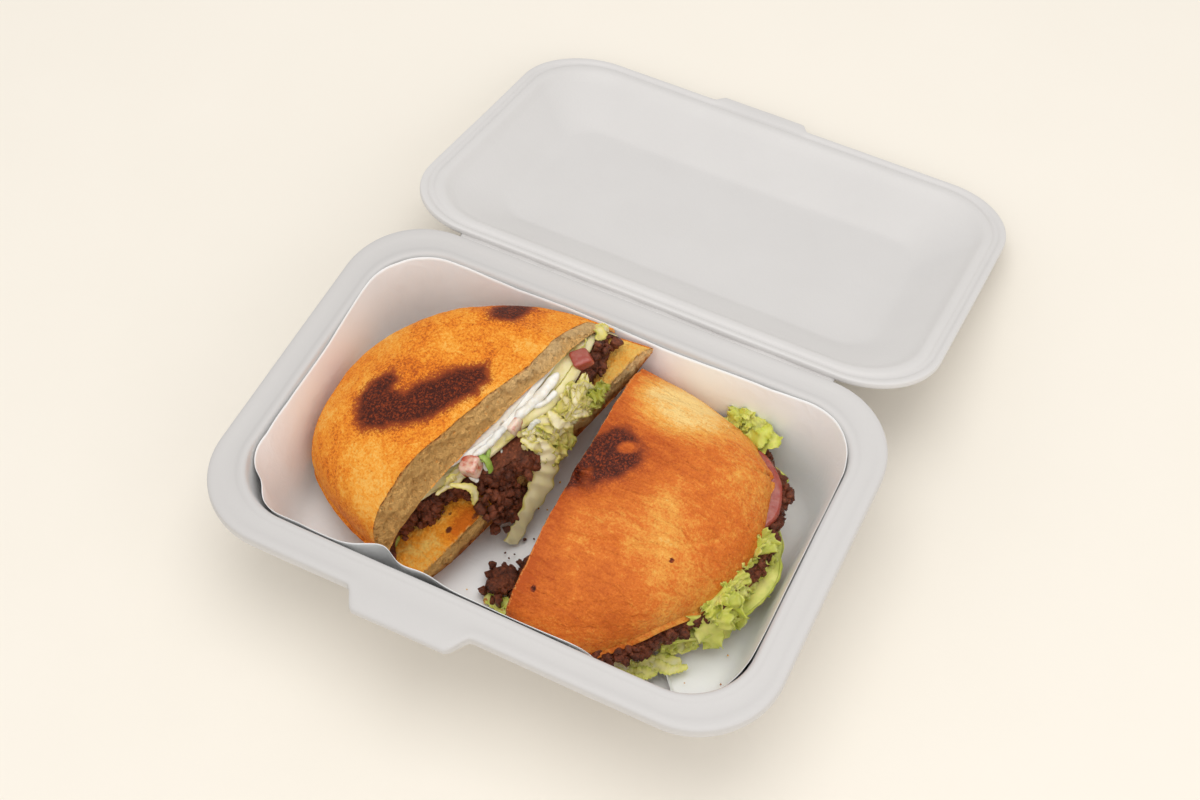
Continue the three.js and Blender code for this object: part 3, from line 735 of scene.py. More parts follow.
class Layer:
    """One layer of a half as two grids: the shell (top, outer edge, underside) and the cut.

    The shell's rows run from the cut's middle out over the top, down the outer edge and
    back in along the underside. The cut face's rows run from its upper edge down."""

    def __init__(self, half, low, high, swell=lambda t: 0 * t, face=lambda u: 0 * u,
                 slant=0.0, bulge=0.8, edge_bulge=0.0, rings=90, spokes=150, wall=24):
        self.half, self.rings, self.wall = half, rings, wall
        s = np.sin(np.linspace(0, 1, rings + 1) * np.pi / 2)[:, None] ** 0.9
        t = np.linspace(0, np.pi, spokes + 1)[None, :]
        u_top, v_top = half.plan(s, t, swell, lambda u: face(u) + slant)
        u_low, v_low = half.plan(s, t, swell, face)
        top = half.place(u_top, v_top, high(s, t, u_top, v_top))
        low_side = half.place(u_low, v_low, low(s, t, u_low, v_low))
        drop = np.linspace(0, 1, wall + 1)[1:-1, None, None]
        outer = top[-1:] * (1 - drop) + low_side[-1:] * drop
        outward = unit(np.stack([np.gradient(top[-1, :, 1]), -np.gradient(top[-1, :, 0])], -1))
        side = np.sign(np.sum(outward * (top[-1, :, :2] - top[0, 0, :2]), axis=-1, keepdims=True))
        outer[..., :2] += outward * side * edge_bulge * np.sin(np.pi * drop)
        self.shell = np.concatenate([top, outer, low_side[::-1]])
        u = np.concatenate([u_top, np.repeat(u_top[-1:], wall - 1, 0), u_low[::-1]])
        v = np.concatenate([v_top, np.repeat(v_top[-1:], wall - 1, 0), v_low[::-1]])
        self.u, self.v = u, v
        zone = np.repeat([TOP_SIDE, OUTER_EDGE, UNDERSIDE], [rings + 1, wall - 1, rings + 1])
        self.zone = np.broadcast_to(zone[:, None], u.shape)
        s_down = np.concatenate([s, np.ones((wall - 1, 1)), s[::-1]])
        self.s = np.broadcast_to(s_down, u.shape)
        self.t = np.broadcast_to(t, u.shape)
        self.bulge = bulge

    def raise_by(self, amount):
        """Moves the shell out along its own directions, before the cut face is made."""
        out = unit(np.cross(np.gradient(self.shell, axis=0), np.gradient(self.shell, axis=1)))
        for rows in (out, out[::-1]):
            shared = rows[POLE_ROWS].mean(axis=0)
            share = np.linspace(0, 1, POLE_ROWS + 1)[:, None, None]
            rows[:POLE_ROWS + 1] = unit(shared * (1 - share) + rows[POLE_ROWS] * share)
        flip = np.sign(out[self.rings // 2, :, 2].mean())
        moved = self.shell + out * flip * amount[..., None]
        moved[0] = moved[0].mean(axis=0)
        moved[-1] = moved[-1].mean(axis=0)
        self.shell = moved

    def droop(self, amount, spread):
        """Lowers the rim by amount and pushes it out by spread of it, easing in over s."""
        share = self.s ** 10 * np.clip(np.sin(self.t) * 6, 0, 1)
        away = unit((self.shell - self.shell[self.rings // 2].mean(axis=0)) * [1, 1, 0])
        outwards = away * spread * (amount > 0)[..., None]
        down = amount[..., None] * np.array([0, 0, 1])
        self.shell = self.shell + (outwards - down) * share[..., None]

    def cut_face(self, relief):
        """The face between the shell's upper and lower cut edges, bulging and rough."""
        rows = self.wall + 1
        last = self.rings
        upper = np.concatenate([self.shell[last:0:-1, -1], self.shell[:last + 1, 0]])
        under = self.shell[::-1]
        lower = np.concatenate([under[last:0:-1, -1], under[:last + 1, 0]])
        fall = np.linspace(0, 1, rows)[:, None, None]
        face = upper * (1 - fall) + lower * fall
        outward = self.half.out
        column = np.arange(len(upper))
        ends = np.clip(np.minimum(column, column[::-1]) / 8, 0, 1)
        inside = np.sin(np.pi * fall[..., 0]) ** 0.5 * ends[None, :]
        face = face + outward * (self.bulge * np.sin(np.pi * fall[..., 0]) * ends)[..., None]
        face = face + outward * (relief(face) * inside)[..., None]
        edge_rows = slice(last, last + rows)
        face[:, 0] = self.shell[edge_rows, -1]
        face[:, -1] = self.shell[edge_rows, 0]
        self.fall = np.broadcast_to(fall[..., 0], face.shape[:2])
        self.face = face

    def skin(self, relief, **values):
        """Both grids as one closed skin. cut is 1 on the cut face; fall runs down it."""
        self.cut_face(relief)
        skin = Skin().grid(self.shell, cut=0, fall=0, **values)
        return skin.grid(self.face, flip=True, cut=1, fall=self.fall)


def stack(base, layers, gap=0.85):
    """Heights of each layer's underside and top, at the cut and at the crust, one on another."""
    heights, (cut, edge) = {}, base
    for name, (at_cut, at_edge) in layers.items():
        cut, edge = cut + gap, edge + gap
        heights[name] = ((cut, edge), (cut + at_cut, edge + at_edge))
        cut, edge = cut + at_cut, edge + at_edge
    heights["bun"] = (cut + gap, edge + gap)
    return heights


BOTTOM_BUN = (10.0, 9.8)
left_levels = stack(BOTTOM_BUN, {"meat": (8.6, 1.8), "lettuce": (4.8, 1.1), "cream": (2.6, 0.9)})
right_levels = stack(BOTTOM_BUN, {"lettuce": (4.0, 2.6), "meat": (7.2, 6.6)})

# ---- left half: bottom of the roll ---------------------------------------------------
# The lower slice of the left half. Its slit face was toasted on the griddle, yellow with
# browned spots; the cut shows a pale close crumb, and a thin brown crust runs underneath.


def blotches(layer, *rows):
    """Ellipses on a layer added up, each its strength inside and falling to 0 beyond it.

    A row holds the strength, the middle's u and v, both half lengths and the angle."""
    total = 0.0
    for strength, at_u, at_v, long, short, angle in rows:
        turn = math.radians(angle)
        along = (layer.u - at_u) * math.cos(turn) + (layer.v - at_v) * math.sin(turn)
        across = -(layer.u - at_u) * math.sin(turn) + (layer.v - at_v) * math.cos(turn)
        total = total + strength * np.exp(-((along / long) ** 2 + (across / short) ** 2) ** 1.5)
    return total


def patch(layer, corners, soft):
    """1 well inside a shape on the crust, one half at its outline and 0 outside."""
    u, v = layer.u, layer.v
    corners = np.array(corners, float)
    nearest = np.full(u.shape, 1e9)
    inside = np.zeros(u.shape, bool)
    for (u1, v1), (u2, v2) in zip(corners, np.roll(corners, -1, axis=0)):
        run_u, run_v = u2 - u1, v2 - v1
        share = ((u - u1) * run_u + (v - v1) * run_v) / (run_u ** 2 + run_v ** 2)
        share = np.clip(share, 0, 1)
        away = np.hypot(u - u1 - share * run_u, v - v1 - share * run_v)
        nearest = np.minimum(nearest, away)
        level = np.where(v1 == v2, 1e-9, run_v)
        crosses = ((v1 > v) != (v2 > v)) & (u < u1 + (v - v1) * run_u / level)
        inside ^= crosses
    share = np.clip(np.where(inside, nearest, -nearest) / soft * 0.5 + 0.5, 0, 1)
    return share * share * (3 - 2 * share)


def crumb_relief(seed, coarse=0.7, pores=0.55):
    """Torn crumb: uneven in bumps of some 7 mm, pitted by pores of 1 to 3 mm."""

    def relief(points):
        holes = np.maximum(rolling(points, 3.4, seed=seed, octaves=2) - 0.15, 0)
        fine = np.maximum(rolling(points, 1.7, seed=seed + 5) - 0.2, 0)
        lumps = coarse * rolling(points, 8, seed=seed + 9, octaves=2)
        return lumps - pores * (2.2 * holes + 1.2 * fine)

    return relief


def bread_finish(name, tones, gloss=0.6, sand=1.0, cloud=1.0, wrinkled=0.0):
    """Crust, crumb and toasted slit face in one material, told apart by painted values.

    tones are the crust's colours from its palest to its best baked."""
    bread = Finish(name, roughness=gloss, specular_ior_level=0.2)
    patches = bread.grain(17, detail=3, distortion=0.6)
    mottle = bread.grain(4.5, detail=4, roughness=0.65)
    grit = bread.grain(1.0, detail=3, roughness=0.8)
    wrinkles = bread.grain(3.4, detail=3, distortion=0.8, stretch=(0.4, 1.3, 1.0))
    bake = bread.painted("bake")
    tone = ((patches - 0.5) * 0.9 + (mottle - 0.5) * 0.7) * cloud
    tone = tone + (grit - 0.5) * 1.7 * sand + bake - (wrinkles - 0.5) * (0.4 * wrinkled)
    crust = bread.ramp(tone + 0.42, list(zip((0.1, 0.36, 0.62, 0.95), tones)))
    burn_edge = bread.painted("scorch") + (mottle - 0.5) * 0.5 + (grit - 0.5) * 0.9
    crust = bread.blend(crust, (0.36, 0.065, 0.010), burn_edge.between(0.15, 0.5))
    burnt = bread.blend((0.050, 0.008, 0.004), (0.34, 0.055, 0.012), grit.between(0.44, 0.70))
    crust = bread.blend(crust, burnt, burn_edge.between(0.42, 0.72))
    holes = bread.cells(2.3)
    pits = bread.cells(0.9)
    strands = bread.grain(1.6, detail=4, roughness=0.7, distortion=1.5)
    # torn is both the crumb's colour and the height of its bump: the ramp paints shade dark in the
    # pits and paints highlight pale on the raised strands, over the crumb's own golden tan.
    torn = holes * 0.6 + pits * 0.25 + strands * 0.75 + (mottle - 0.5) * 0.5
    crumb = bread.ramp(torn, [
        (0.19, (0.62, 0.14, 0.016)), (0.34, (1.0, 0.375, 0.060)), (0.66, (1.0, 0.57, 0.19)),
    ])
    # Painted highlight: paler on the raised strands, where pale is painted towards the back and top
    # of the cut.
    pale = bread.painted("pale") * torn.between(0.3, 0.8)
    crumb = bread.blend(crumb, (1.0, 0.67, 0.32), pale)
    crumb = bread.blend(crumb, tones[3], bread.painted("rind"))
    toasted = bread.ramp(patches * 0.5 + mottle * 0.5 + (grit - 0.5) * 0.5 + bake * 0.6, [
        (0.34, (0.99, 0.60, 0.14)), (0.52, (0.99, 0.37, 0.028)), (0.74, (0.72, 0.17, 0.010)),
    ])
    spots = bread.painted("spot") + (grit - 0.5) * 0.6
    toasted = bread.blend(toasted, (0.16, 0.04, 0.012), spots.between(0.3, 0.7))
    on_slit, on_cut = bread.painted("slit"), bread.painted("cut")
    colour = bread.blend(bread.blend(crust, toasted, on_slit), crumb, on_cut)
    rough_face = on_cut.at_least(on_slit * 0.5)
    skin_relief = bread.relief(grit, 0.12 + 0.55 * sand, under=bread.relief(
        mottle, 0.8, under=bread.relief(wrinkles, 0.1 + wrinkled),
    ))
    torn_relief = bread.relief(torn, 3.0, under=skin_relief)
    faces = {0: rough_face, 4: skin_relief, 5: torn_relief}
    normal = bread.node("Mix", {"data_type": "VECTOR"}, faces, out=1)
    dullness = ((grit - 0.5) * 0.3 + gloss + rough_face * 0.3).at_most(0.95)
    return bread.set(base_color=colour, normal=normal, roughness=dullness)


griddled_roll = bread_finish("griddled_roll", (
    (0.97, 0.52, 0.11), (0.94, 0.37, 0.032), (0.83, 0.22, 0.012), (0.42, 0.075, 0.007),
), gloss=0.6, sand=1.0)


def bottom_slice(half, **sizes):
    """Rounded up towards the crust underneath, level on the slit face."""
    return Layer(
        half,
        low=lambda s, t, u, v: 6.5 * s ** 6 + 0.5 * waviness(half.seed, s * 3, t) * (1 - s),
        high=lambda s, t, u, v: half.level(BOTTOM_BUN, u, v),
        bulge=0.4, edge_bulge=1.2, **sizes,
    )


left_base = bottom_slice(left_half)
slit_relief = 0.45 * rolling(left_base.shell, 6, seed=41, octaves=3)
on_slit = left_base.zone == TOP_SIDE
slit_relief = np.where(on_slit, slit_relief - 0.35, slit_relief * 0.6)
left_base.raise_by(slit_relief * np.minimum(1, 6 * (1 - left_base.s) + 0.4))
base_spots = blotches(
    left_base, (1, -43, 6, 1.8, 1.4, 20), (0.8, -38, 11, 1.2, 0.9, 0),
    (1, 64, 16, 5.0, 2.6, 10), (0.7, -30, 2, 6, 1.6, 10),
)
slit_bake = blotches(
    left_base, (0.30, -33, 3, 10, 5, 0), (0.22, -40, 4, 8, 4, 0),
    (-0.15, -52, 8, 10, 8, 0), (-0.20, 58, 6, 14, 14, 0),
) - 0.02
base_scorch = blotches(left_base, (0.55, -35, 0, 40, 12, 0)) * (left_base.zone == UNDERSIDE)
left_base_skin = left_base.skin(
    crumb_relief(50, coarse=1.6, pores=1.4), slit=on_slit, spot=base_spots,
    bake=np.where(on_slit, slit_bake, 0.35), scorch=base_scorch,
)


def crumb_values(skin, rind_top=0.0, rind_low=0.07):
    """Paints the cut with a rind along its crusted edges, paler towards the back and top."""
    cut, fall = (np.concatenate(skin.values[key]) for key in ("cut", "fall"))
    top_rind = np.clip(1 - fall / rind_top, 0, 1) if rind_top else 0 * fall
    low_rind = np.clip(1 - (1 - fall) / rind_low, 0, 1) if rind_low else 0 * fall
    skin.values["rind"] = [np.maximum(top_rind, low_rind) * cut]
    to_back = np.clip((np.concatenate(skin.points)[:, 1] + 5) / 45, 0, 0.8)
    skin.values["pale"] = [cut * to_back * np.clip(1.6 - 1.6 * fall, 0, 1)]
    return skin


crumb_values(left_base_skin, rind_low=0.5).piece(
    "left_roll_bottom", griddled_roll, "tray", "crumb_left", "left_bottom_bun",
)

# ---- left half: top of the roll ------------------------------------------------------
# The domed upper slice, pressed on the griddle: sandy golden crust with a big kidney-shaped
# scorch and a smaller oval one. Its cut edge is set back and shows a band of coarse crumb.


def ragged(u, seed):
    """Small in and out steps of a torn or roughly cut edge."""
    place = np.stack([np.asarray(u, float), 0 * u, 0 * u + seed], -1)
    return 0.9 * rolling(place, 7, seed=5, octaves=3)


def top_slice(half, levels, thickness, setback, slant, fullness, drawn=lambda t: 0 * t):
    """A dome over the layers: height falls to the lip as the root of 1 - s to the fullness."""
    cut, edge = levels["bun"]
    lip = 4

    def dome(s, t, u, v):
        swell = np.sqrt(np.maximum(0, 1 - s ** fullness))
        rise = cut + thickness - edge - lip
        return edge + lip + rise * swell * (1 + 0.06 * waviness(half.seed, 3 * s, 2 * t))

    def set_back(u):
        return setback * (1 + 0.4 * bell(u, 60, 15)) + ragged(u, half.seed)

    return Layer(
        half, low=lambda s, t, u, v: half.level((cut, edge), u, v), high=dome,
        swell=lambda t: 0.012 - drawn(t), face=set_back, slant=slant,
        bulge=0.5, edge_bulge=1.6, rings=110, spokes=190, wall=34,
    )


left_top = top_slice(
    left_half, left_levels, thickness=19, setback=12.5, slant=2.5, fullness=4.4,
)
dents = 0.9 * rolling(left_top.shell, 24, seed=61, octaves=2)
dents += 0.22 * rolling(left_top.shell, 5, seed=64, octaves=3)
dents += 0.12 * rolling(left_top.shell, 1.6, seed=69, octaves=2)
left_top.raise_by((dents - 0.5) * np.where(left_top.zone == UNDERSIDE, 0.15, 1.0))
kidney = patch(left_top, (
    (-38, 48), (-31, 56), (-23, 57), (-14, 53), (-15, 48), (-20, 46), (-17, 41), (-10, 40), (3, 35),
    (15, 27), (11, 21), (4, 20), (-6, 22), (-20, 25), (-33, 35), (-39, 42),
), 7)
oval = patch(left_top, ((30, 44), (34, 50), (41, 50), (47, 43), (43, 37), (36, 36)), 6)
left_bake = 0.16 * rolling(left_top.shell, 30, seed=71, octaves=2) + 0.08 * left_top.s ** 8
left_bake += blotches(
    left_top, (0.30, -20, 38, 34, 24, 20), (0.2, 36, 46, 18, 12, 0),
    (-0.22, -50, 24, 14, 24, 0), (-0.12, 10, 45, 18, 10, 10),
)
left_top_skin = left_top.skin(
    crumb_relief(80, coarse=3.2, pores=2.2), slit=left_top.zone == UNDERSIDE,
    scorch=(kidney + oval) * (left_top.zone < UNDERSIDE), bake=left_bake,
)
crumb_values(left_top_skin, rind_top=0.06, rind_low=0).piece(
    "left_roll_top", griddled_roll, "tray", "crust_left", "left_top_bun",
)

# ---- right half: bottom and top of the roll ------------------------------------------
# The right half lies with its crust up: smooth, egg-golden and slightly glossy, with one
# ring-shaped scorch by the cut and two long creases where the dough was folded.

glazed_roll = bread_finish("glazed_roll", (
    (0.92, 0.64, 0.24), (0.84, 0.39, 0.070), (0.70, 0.175, 0.021), (0.46, 0.080, 0.008),
), gloss=0.45, sand=0.4, cloud=0.45, wrinkled=1.0)
right_base = bottom_slice(right_half, rings=60, spokes=110)
right_base_skin = right_base.skin(
    crumb_relief(90), slit=right_base.zone == TOP_SIDE,
    bake=np.where(right_base.zone == TOP_SIDE, 0, 0.3),
)
crumb_values(right_base_skin, rind_low=0.16).piece(
    "right_roll_bottom", glazed_roll, "tray", "crumb_right", "right_bottom_bun",
)

right_top = top_slice(
    right_half, right_levels, thickness=24, setback=0, slant=1, fullness=3.2,
    drawn=lambda t: (
        0.055 * bell(t, 1.3, 0.5) + 0.03 * bell(t, 1.95, 0.3) + 0.09 * bell(t, 2.45, 0.32)
    ),
)
held_up = bell(right_top.t, 0.8, 0.2) + 0.9 * bell(right_top.t, 2.0, 0.14)
held_up += bell(right_top.t, 2.4, 0.26)
right_top.droop(5.0 * (1 - held_up), 2.2)


def folds(layer, *rows):
    """Creases added up, each its strength on an arc and 0 past its width.

    A row holds the strength, the arc's two ends, its sag and its width."""
    total = 0.0
    for strength, start, end, sag, width in rows:
        off_u, off_v = layer.u - start[0], layer.v - start[1]
        run_u, run_v = end[0] - start[0], end[1] - start[1]
        length = np.hypot(run_u, run_v)
        along = (off_u * run_u + off_v * run_v) / length
        across = (-off_u * run_v + off_v * run_u) / length
        share = np.clip(along / length, 0, 1)
        beyond = np.maximum(np.maximum(-along, along - length), 0)
        off_arc = (across - sag * np.sin(np.pi * share)) / width
        fade = np.sin(np.pi * np.clip(share, 0.06, 0.94)) ** 0.4
        total = total + strength * np.exp(-off_arc ** 2 - (beyond / 4) ** 2) * fade
    return total


creases = folds(
    right_top, (1, (29, 8), (17, 42), 1.5, 1.3), (1, (16, 38), (-3, 62), -2.0, 1.5),
    (0.7, (-44, 4), (-52, 32), 2.5, 2.6), (0.4, (6, 44), (-12, 52), 2, 1.2),
)
swells = folds(right_top, (0.8, (24, 10), (10, 44), 1.0, 6), (-0.7, (-30, 8), (-40, 36), 2, 7))
softness = 0.8 * rolling(right_top.shell, 30, seed=101, octaves=2)
softness += 0.3 * rolling(right_top.shell, 7, seed=104, octaves=3)
softness += 0.16 * np.abs(rolling(right_top.shell * [1, 1.6, 1], 3.4, seed=109, octaves=2))
softness += 1.2 * swells - 0.8 * creases - 0.4
right_top.raise_by(softness * np.where(right_top.zone == UNDERSIDE, 0.1, 1.0))
ring_scorch = patch(right_top, (
    (10, -2), (10, 2), (5, 9), (0, 13), (-6, 19), (-13, 22), (-20, 21), (-25, 13),
    (-24, 6), (-17, 1), (-13, -2),
), 6)
ring_scorch += blotches(right_top, (-0.9, -17, 14.5, 4.2, 2.8, -60), (-0.45, -1, 6, 5, 3, 0))
specks = blotches(right_top, (1.2, 16, 49, 1.0, 0.7, 0), (1.2, 49, 8, 1.3, 0.9, 0))
right_bake = 0.19 + 0.09 * rolling(right_top.shell, 26, seed=111, octaves=2)
right_bake += 0.30 * bell(right_top.v, 0, 9) - 0.08 * creases - 0.10 * right_top.s ** 6
right_bake += blotches(
    right_top, (0.22, -14, 14, 26, 18, -60), (0.06, 40, 30, 26, 14, 90),
    (-0.46, -46, 22, 15, 22, 0), (-0.12, 8, 42, 26, 9, 20), (0.06, 46, 24, 18, 30, 0),
)
right_top_skin = right_top.skin(
    crumb_relief(120), slit=right_top.zone == UNDERSIDE, bake=right_bake,
    scorch=(np.clip(ring_scorch, 0, 1) + specks) * (right_top.zone < UNDERSIDE),
)
crumb_values(right_top_skin, rind_top=0.08, rind_low=0).piece(
    "right_roll_top", glazed_roll, "tray", "crust_right", "right_top_bun",
)

# ---- left half: meat -----------------------------------------------------------------
# Dark browned mince: a coarse core through the half, with crumbles of 2 to 6 mm standing out
# of its cut face. Near the middle some has slid down over the edge of the bottom slice.


def ball_mesh(level):
    """Points and triangles of a ball of radius 1 made of even triangles."""
    work = bmesh.new()
    bmesh.ops.create_icosphere(work, subdivisions=level, radius=1.0)
    points = np.array([vertex.co[:] for vertex in work.verts])
    faces = np.array([[vertex.index for vertex in face.verts] for face in work.faces])
    work.free()
    return points, faces


BALLS = {level: ball_mesh(level) for level in (1, 2, 4)}


def random_turn(rng):
    """A turn matrix with no favoured direction."""
    turn, upper = np.linalg.qr(rng.normal(size=(3, 3)))
    turn = turn * np.sign(np.diag(upper))
    return turn * np.sign(np.linalg.det(turn))


def lump(skin, centre, radii, rng, rough, level=1, turn=None):
    """A knobbly lump: a ball with its radius varied by rough, stretched to radii."""
    points, faces = BALLS[level]
    seat = rng.uniform(0, 50, 3)
    knobs = rolling(points + seat, 0.9, seed=7, octaves=2)
    dips = np.abs(rolling(points + seat, 0.6, seed=9))
    body = points * (1 + rough * (knobs - dips))[:, None] * np.asarray(radii, float)
    body = body @ (random_turn(rng) if turn is None else turn).T
    skin.facets(body + centre, faces)


def crumbles(skin, spots, outward, sizes, rng):
    """Crumbs of mince at the spots, part of each standing out of the surface there."""
    for spot, size in zip(spots, sizes):
        radii = size * rng.uniform(0.7, 1.4, 3)
        centre = spot + outward * size * rng.uniform(-0.5, 0.3)
        lump(skin, centre, radii, rng, 0.55, level=2 if size > 1.1 else 1)


def mince_relief(seed):
    """Grains of mince: knobs of 5 mm with knobs of 2 mm on them."""

    def relief(points):
        knobs = np.abs(rolling(points, 5, seed=seed, octaves=2))
        return 1.6 * knobs - 0.5 + 0.5 * rolling(points, 1.9, seed=seed + 3, octaves=2)

    return relief


cooked_mince = Finish(
    "cooked_mince", roughness=0.5, specular_ior_level=0.4, subsurface_weight=0.05,
    subsurface_radius=(0.002, 0.0008, 0.0005), subsurface_scale=0.5,
)
mince_patches = cooked_mince.grain(6, detail=3)
mince_grit = cooked_mince.grain(1.1, detail=4, roughness=0.7)
mince_tone = (mince_patches * 0.6 + mince_grit * 0.7).between(0.45, 0.85)
mince_glints = mince_grit.between(0.56, 0.76) * mince_patches.between(0.4, 0.65)
mince_brown = cooked_mince.blend((0.050, 0.011, 0.004), (0.25, 0.062, 0.023), mince_tone)
cooked_mince.set(
    base_color=cooked_mince.blend(mince_brown, (0.46, 0.17, 0.085), mince_glints),
    roughness=(mince_grit * 0.7 + 0.1).between(0.2, 0.8) * 0.45 + 0.25,
    normal=cooked_mince.relief(mince_grit, 0.9),
)
mince_rng = np.random.default_rng(11)


def humps(x, level, *rows):
    """A level line with bells on it, each row its height, centre and width."""
    return level + sum(height * bell(x, centre, width) for height, centre, width in rows)


def filling(half, levels, **sizes):
    """A layer level with its neighbours, between the heights that stack gives."""
    low, high = levels
    return Layer(
        half, low=lambda s, t, u, v: half.level(low, u, v),
        high=lambda s, t, u, v: half.level(high, u, v), **sizes,
    )


left_meat = filling(
    left_half, left_levels["meat"], slant=2, bulge=2, spokes=190,
    face=lambda u: humps(
        u, 4 + 1.2 * np.sin(0.5 * u), (13, 60, 15), (12, -44, 20), (8, -60, 12), (-7, -6, 12),
    ),
)
left_meat_skin = left_meat.skin(mince_relief(21))


def stud_face(skin, layer, rng, count, from_u, to_u, sizes):
    """Crumbs at random places on a layer's cut face between two places along the cut."""
    last = layer.rings
    u = np.concatenate([layer.u[last:0:-1, -1], layer.u[:last + 1, 0]])
    columns = np.flatnonzero((u > from_u) & (u < to_u))
    rows = rng.integers(int(0.05 * layer.wall), int(0.95 * layer.wall) + 1, count)
    spots = layer.face[rows, rng.choice(columns, count)]
    crumbles(skin, spots, layer.half.out, rng.uniform(*sizes, count), rng)


stud_face(left_meat_skin, left_meat, mince_rng, 230, -56, 56, (0.9, 2.5))
slid_down = left_half.loose(np.concatenate([
    np.array(centre) + mince_rng.normal(size=(count, 3)) * spread
    for centre, spread, count in (
        ((-18, 1, 11.5), (5, 1.6, 2.0), 64), ((-19, -1.8, 5), (4, 0.8, 3.4), 72),
        ((-21, -1.8, -2), (3.8, 0.7, 2.4), 46), ((45, 9, 15), (5, 2.0, 2.6), 40),
        ((-42, 15, 13), (6, 1.6, 2.0), 26),
    )
]))
slid_sizes = mince_rng.uniform(0.9, 2.4, len(slid_down))
crumbles(left_meat_skin, slid_down, left_half.out, slid_sizes, mince_rng)
left_meat_skin.piece("left_meat_mince", cooked_mince, "tray", "meat_left", "left_meat")

# ---- left half: lettuce --------------------------------------------------------------
# Shredded iceberg over the meat. A loose bundle pours out past the middle of the cut, frilled
# and greener at its edge, and one pale ribbed shred hangs down before the bottom slice.


def smooth_line(knots, count):
    """Points along a smooth line through the knots."""
    knots = np.asarray(knots, float)
    place = np.linspace(0, len(knots) - 1, count)
    at = np.minimum(place.astype(int), len(knots) - 2)
    part = (place - at)[:, None]
    padded = np.concatenate([2 * knots[:1] - knots[1:2], knots, 2 * knots[-1:] - knots[-2:-1]])
    before, here, there, after = (padded[at + k] for k in range(4))
    slope = (there - before) * part
    bend = (2 * before - 5 * here + 4 * there - after) * part ** 2
    turn = (3 * here - before - 3 * there + after) * part ** 3
    return 0.5 * (2 * here + slope + bend + turn)


def shred(skin, knots, width, facing, rng, ruffle=0.8, curl=0.25, frill=2.5, ridges=0.0,
          thickness=0.5, rib=0.4, rows=26, columns=9, taper=0.35):
    """A closed thin leaf along a line: curled across, its edges ruffled, its ends rounded.

    rib is 1 on the pale rib and falls to the green edges."""
    line = smooth_line(knots, rows)
    along = unit(np.gradient(line, axis=0))
    side = unit(np.cross(along, facing))
    up = np.cross(side, along)
    share = np.linspace(0, 1, rows)[:, None]
    x = np.linspace(-1, 1, columns)[None, :]
    phase = rng.uniform(0, 6.28, 4)
    half_width = width / 2 * np.sin(np.pi * np.clip(share, 0.04, 0.96)) ** taper
    half_width = half_width * (1 + 0.2 * np.sin(7 * share + phase[0]))
    turns = 2 * np.pi * share
    wave = np.abs(x) ** 1.6 * np.sin(frill * turns + phase[1] + 1.3 * np.sign(x))
    wave = ruffle * (wave + 0.4 * x ** 2 * np.sin(2.7 * frill * turns + phase[2]))
    ribs = ridges * np.sin(9 * turns + 2 * x) * (1 - x ** 2)
    lift = half_width * curl * x ** 2 + wave + ribs
    reach = half_width * x * (1 + 0.12 * np.sin(3.1 * frill * turns + phase[3]) * np.abs(x))
    middle = line[:, None] + side[:, None] * reach[..., None] + up[:, None] * lift[..., None]
    half_thick = up[:, None] * (thickness / 2 * (1 - 0.55 * x ** 4))[..., None]
    loop = np.concatenate([middle + half_thick, (middle - half_thick)[:, ::-1]], axis=1)
    loop[0] = loop[0].mean(axis=0)
    loop[-1] = loop[-1].mean(axis=0)
    pale = np.broadcast_to(rib * (1 - 0.6 * np.abs(x) ** 2), (rows, columns))
    skin.grid(loop, wrap=True, rib=np.concatenate([pale, pale[:, ::-1]], axis=1))


def leaf_finish(name, pale, middle, green):
    """Leaf that turns from its pale rib, through a middle colour, to its green edge."""
    leaf = Finish(
        name, roughness=0.42, specular_ior_level=0.5, subsurface_weight=0.35,
        subsurface_radius=(0.003, 0.004, 0.0015), subsurface_scale=0.6,
    )
    veins = leaf.grain(2.6, detail=3, stretch=(1, 1, 0.35))
    clouds = leaf.grain(7, detail=2)
    tone = leaf.painted("rib").at_least(leaf.painted("cut") * 0.7)
    tone = tone + (clouds - 0.5) * 0.8 + (veins - 0.5) * 0.3
    colour = leaf.blend(green, middle, tone.between(0.05, 0.42))
    colour = leaf.blend(colour, pale, tone.between(0.4, 0.85))
    return leaf.set(base_color=colour, normal=leaf.relief(veins, 0.3), roughness=veins * 0.5 + 0.2)


pale_lettuce = leaf_finish(
    "pale_lettuce", (0.86, 0.78, 0.46), (0.70, 0.60, 0.16), (0.40, 0.42, 0.05),
)
leaf_rng = np.random.default_rng(23)
left_lettuce = filling(
    left_half, left_levels["lettuce"], slant=2, bulge=1.6,
    face=lambda u: humps(u, 8, (10, 60, 15), (9, -44, 20), (7, -60, 14), (-4, 20, 16)),
)


def folded_relief(seed):
    """Edges of packed shreds: thin ridges that run along the cut."""

    def relief(points):
        return 1.2 * rolling(points * [1, 1, 2.5], 5, seed=seed, octaves=3)

    return relief


left_lettuce_skin = left_lettuce.skin(folded_relief(31), rib=0.75)


def pour(tops, ends, widths, rib, **shape):
    """Shreds between pairs of places in the left half's own frame, sagging outwards."""
    rng = leaf_rng
    for top, end, width in zip(tops, ends, widths):
        top, end = np.asarray(top, float), np.asarray(end, float)
        sag = [rng.normal() * 2, -abs(rng.normal()) * 1.6 - 0.6, rng.normal() * 1.2]
        knots = left_half.place(*np.array([top, (top + end) / 2 + sag, end]).T)
        facing = unit(np.array([rng.normal() * 0.35, -1.0, 0.5 + rng.normal() * 0.3]))
        pale = rib * rng.uniform(0.6, 1.2)
        turned = left_half.turn @ facing
        shred(left_lettuce_skin, knots, width, turned, rng, rib=pale, **shape)


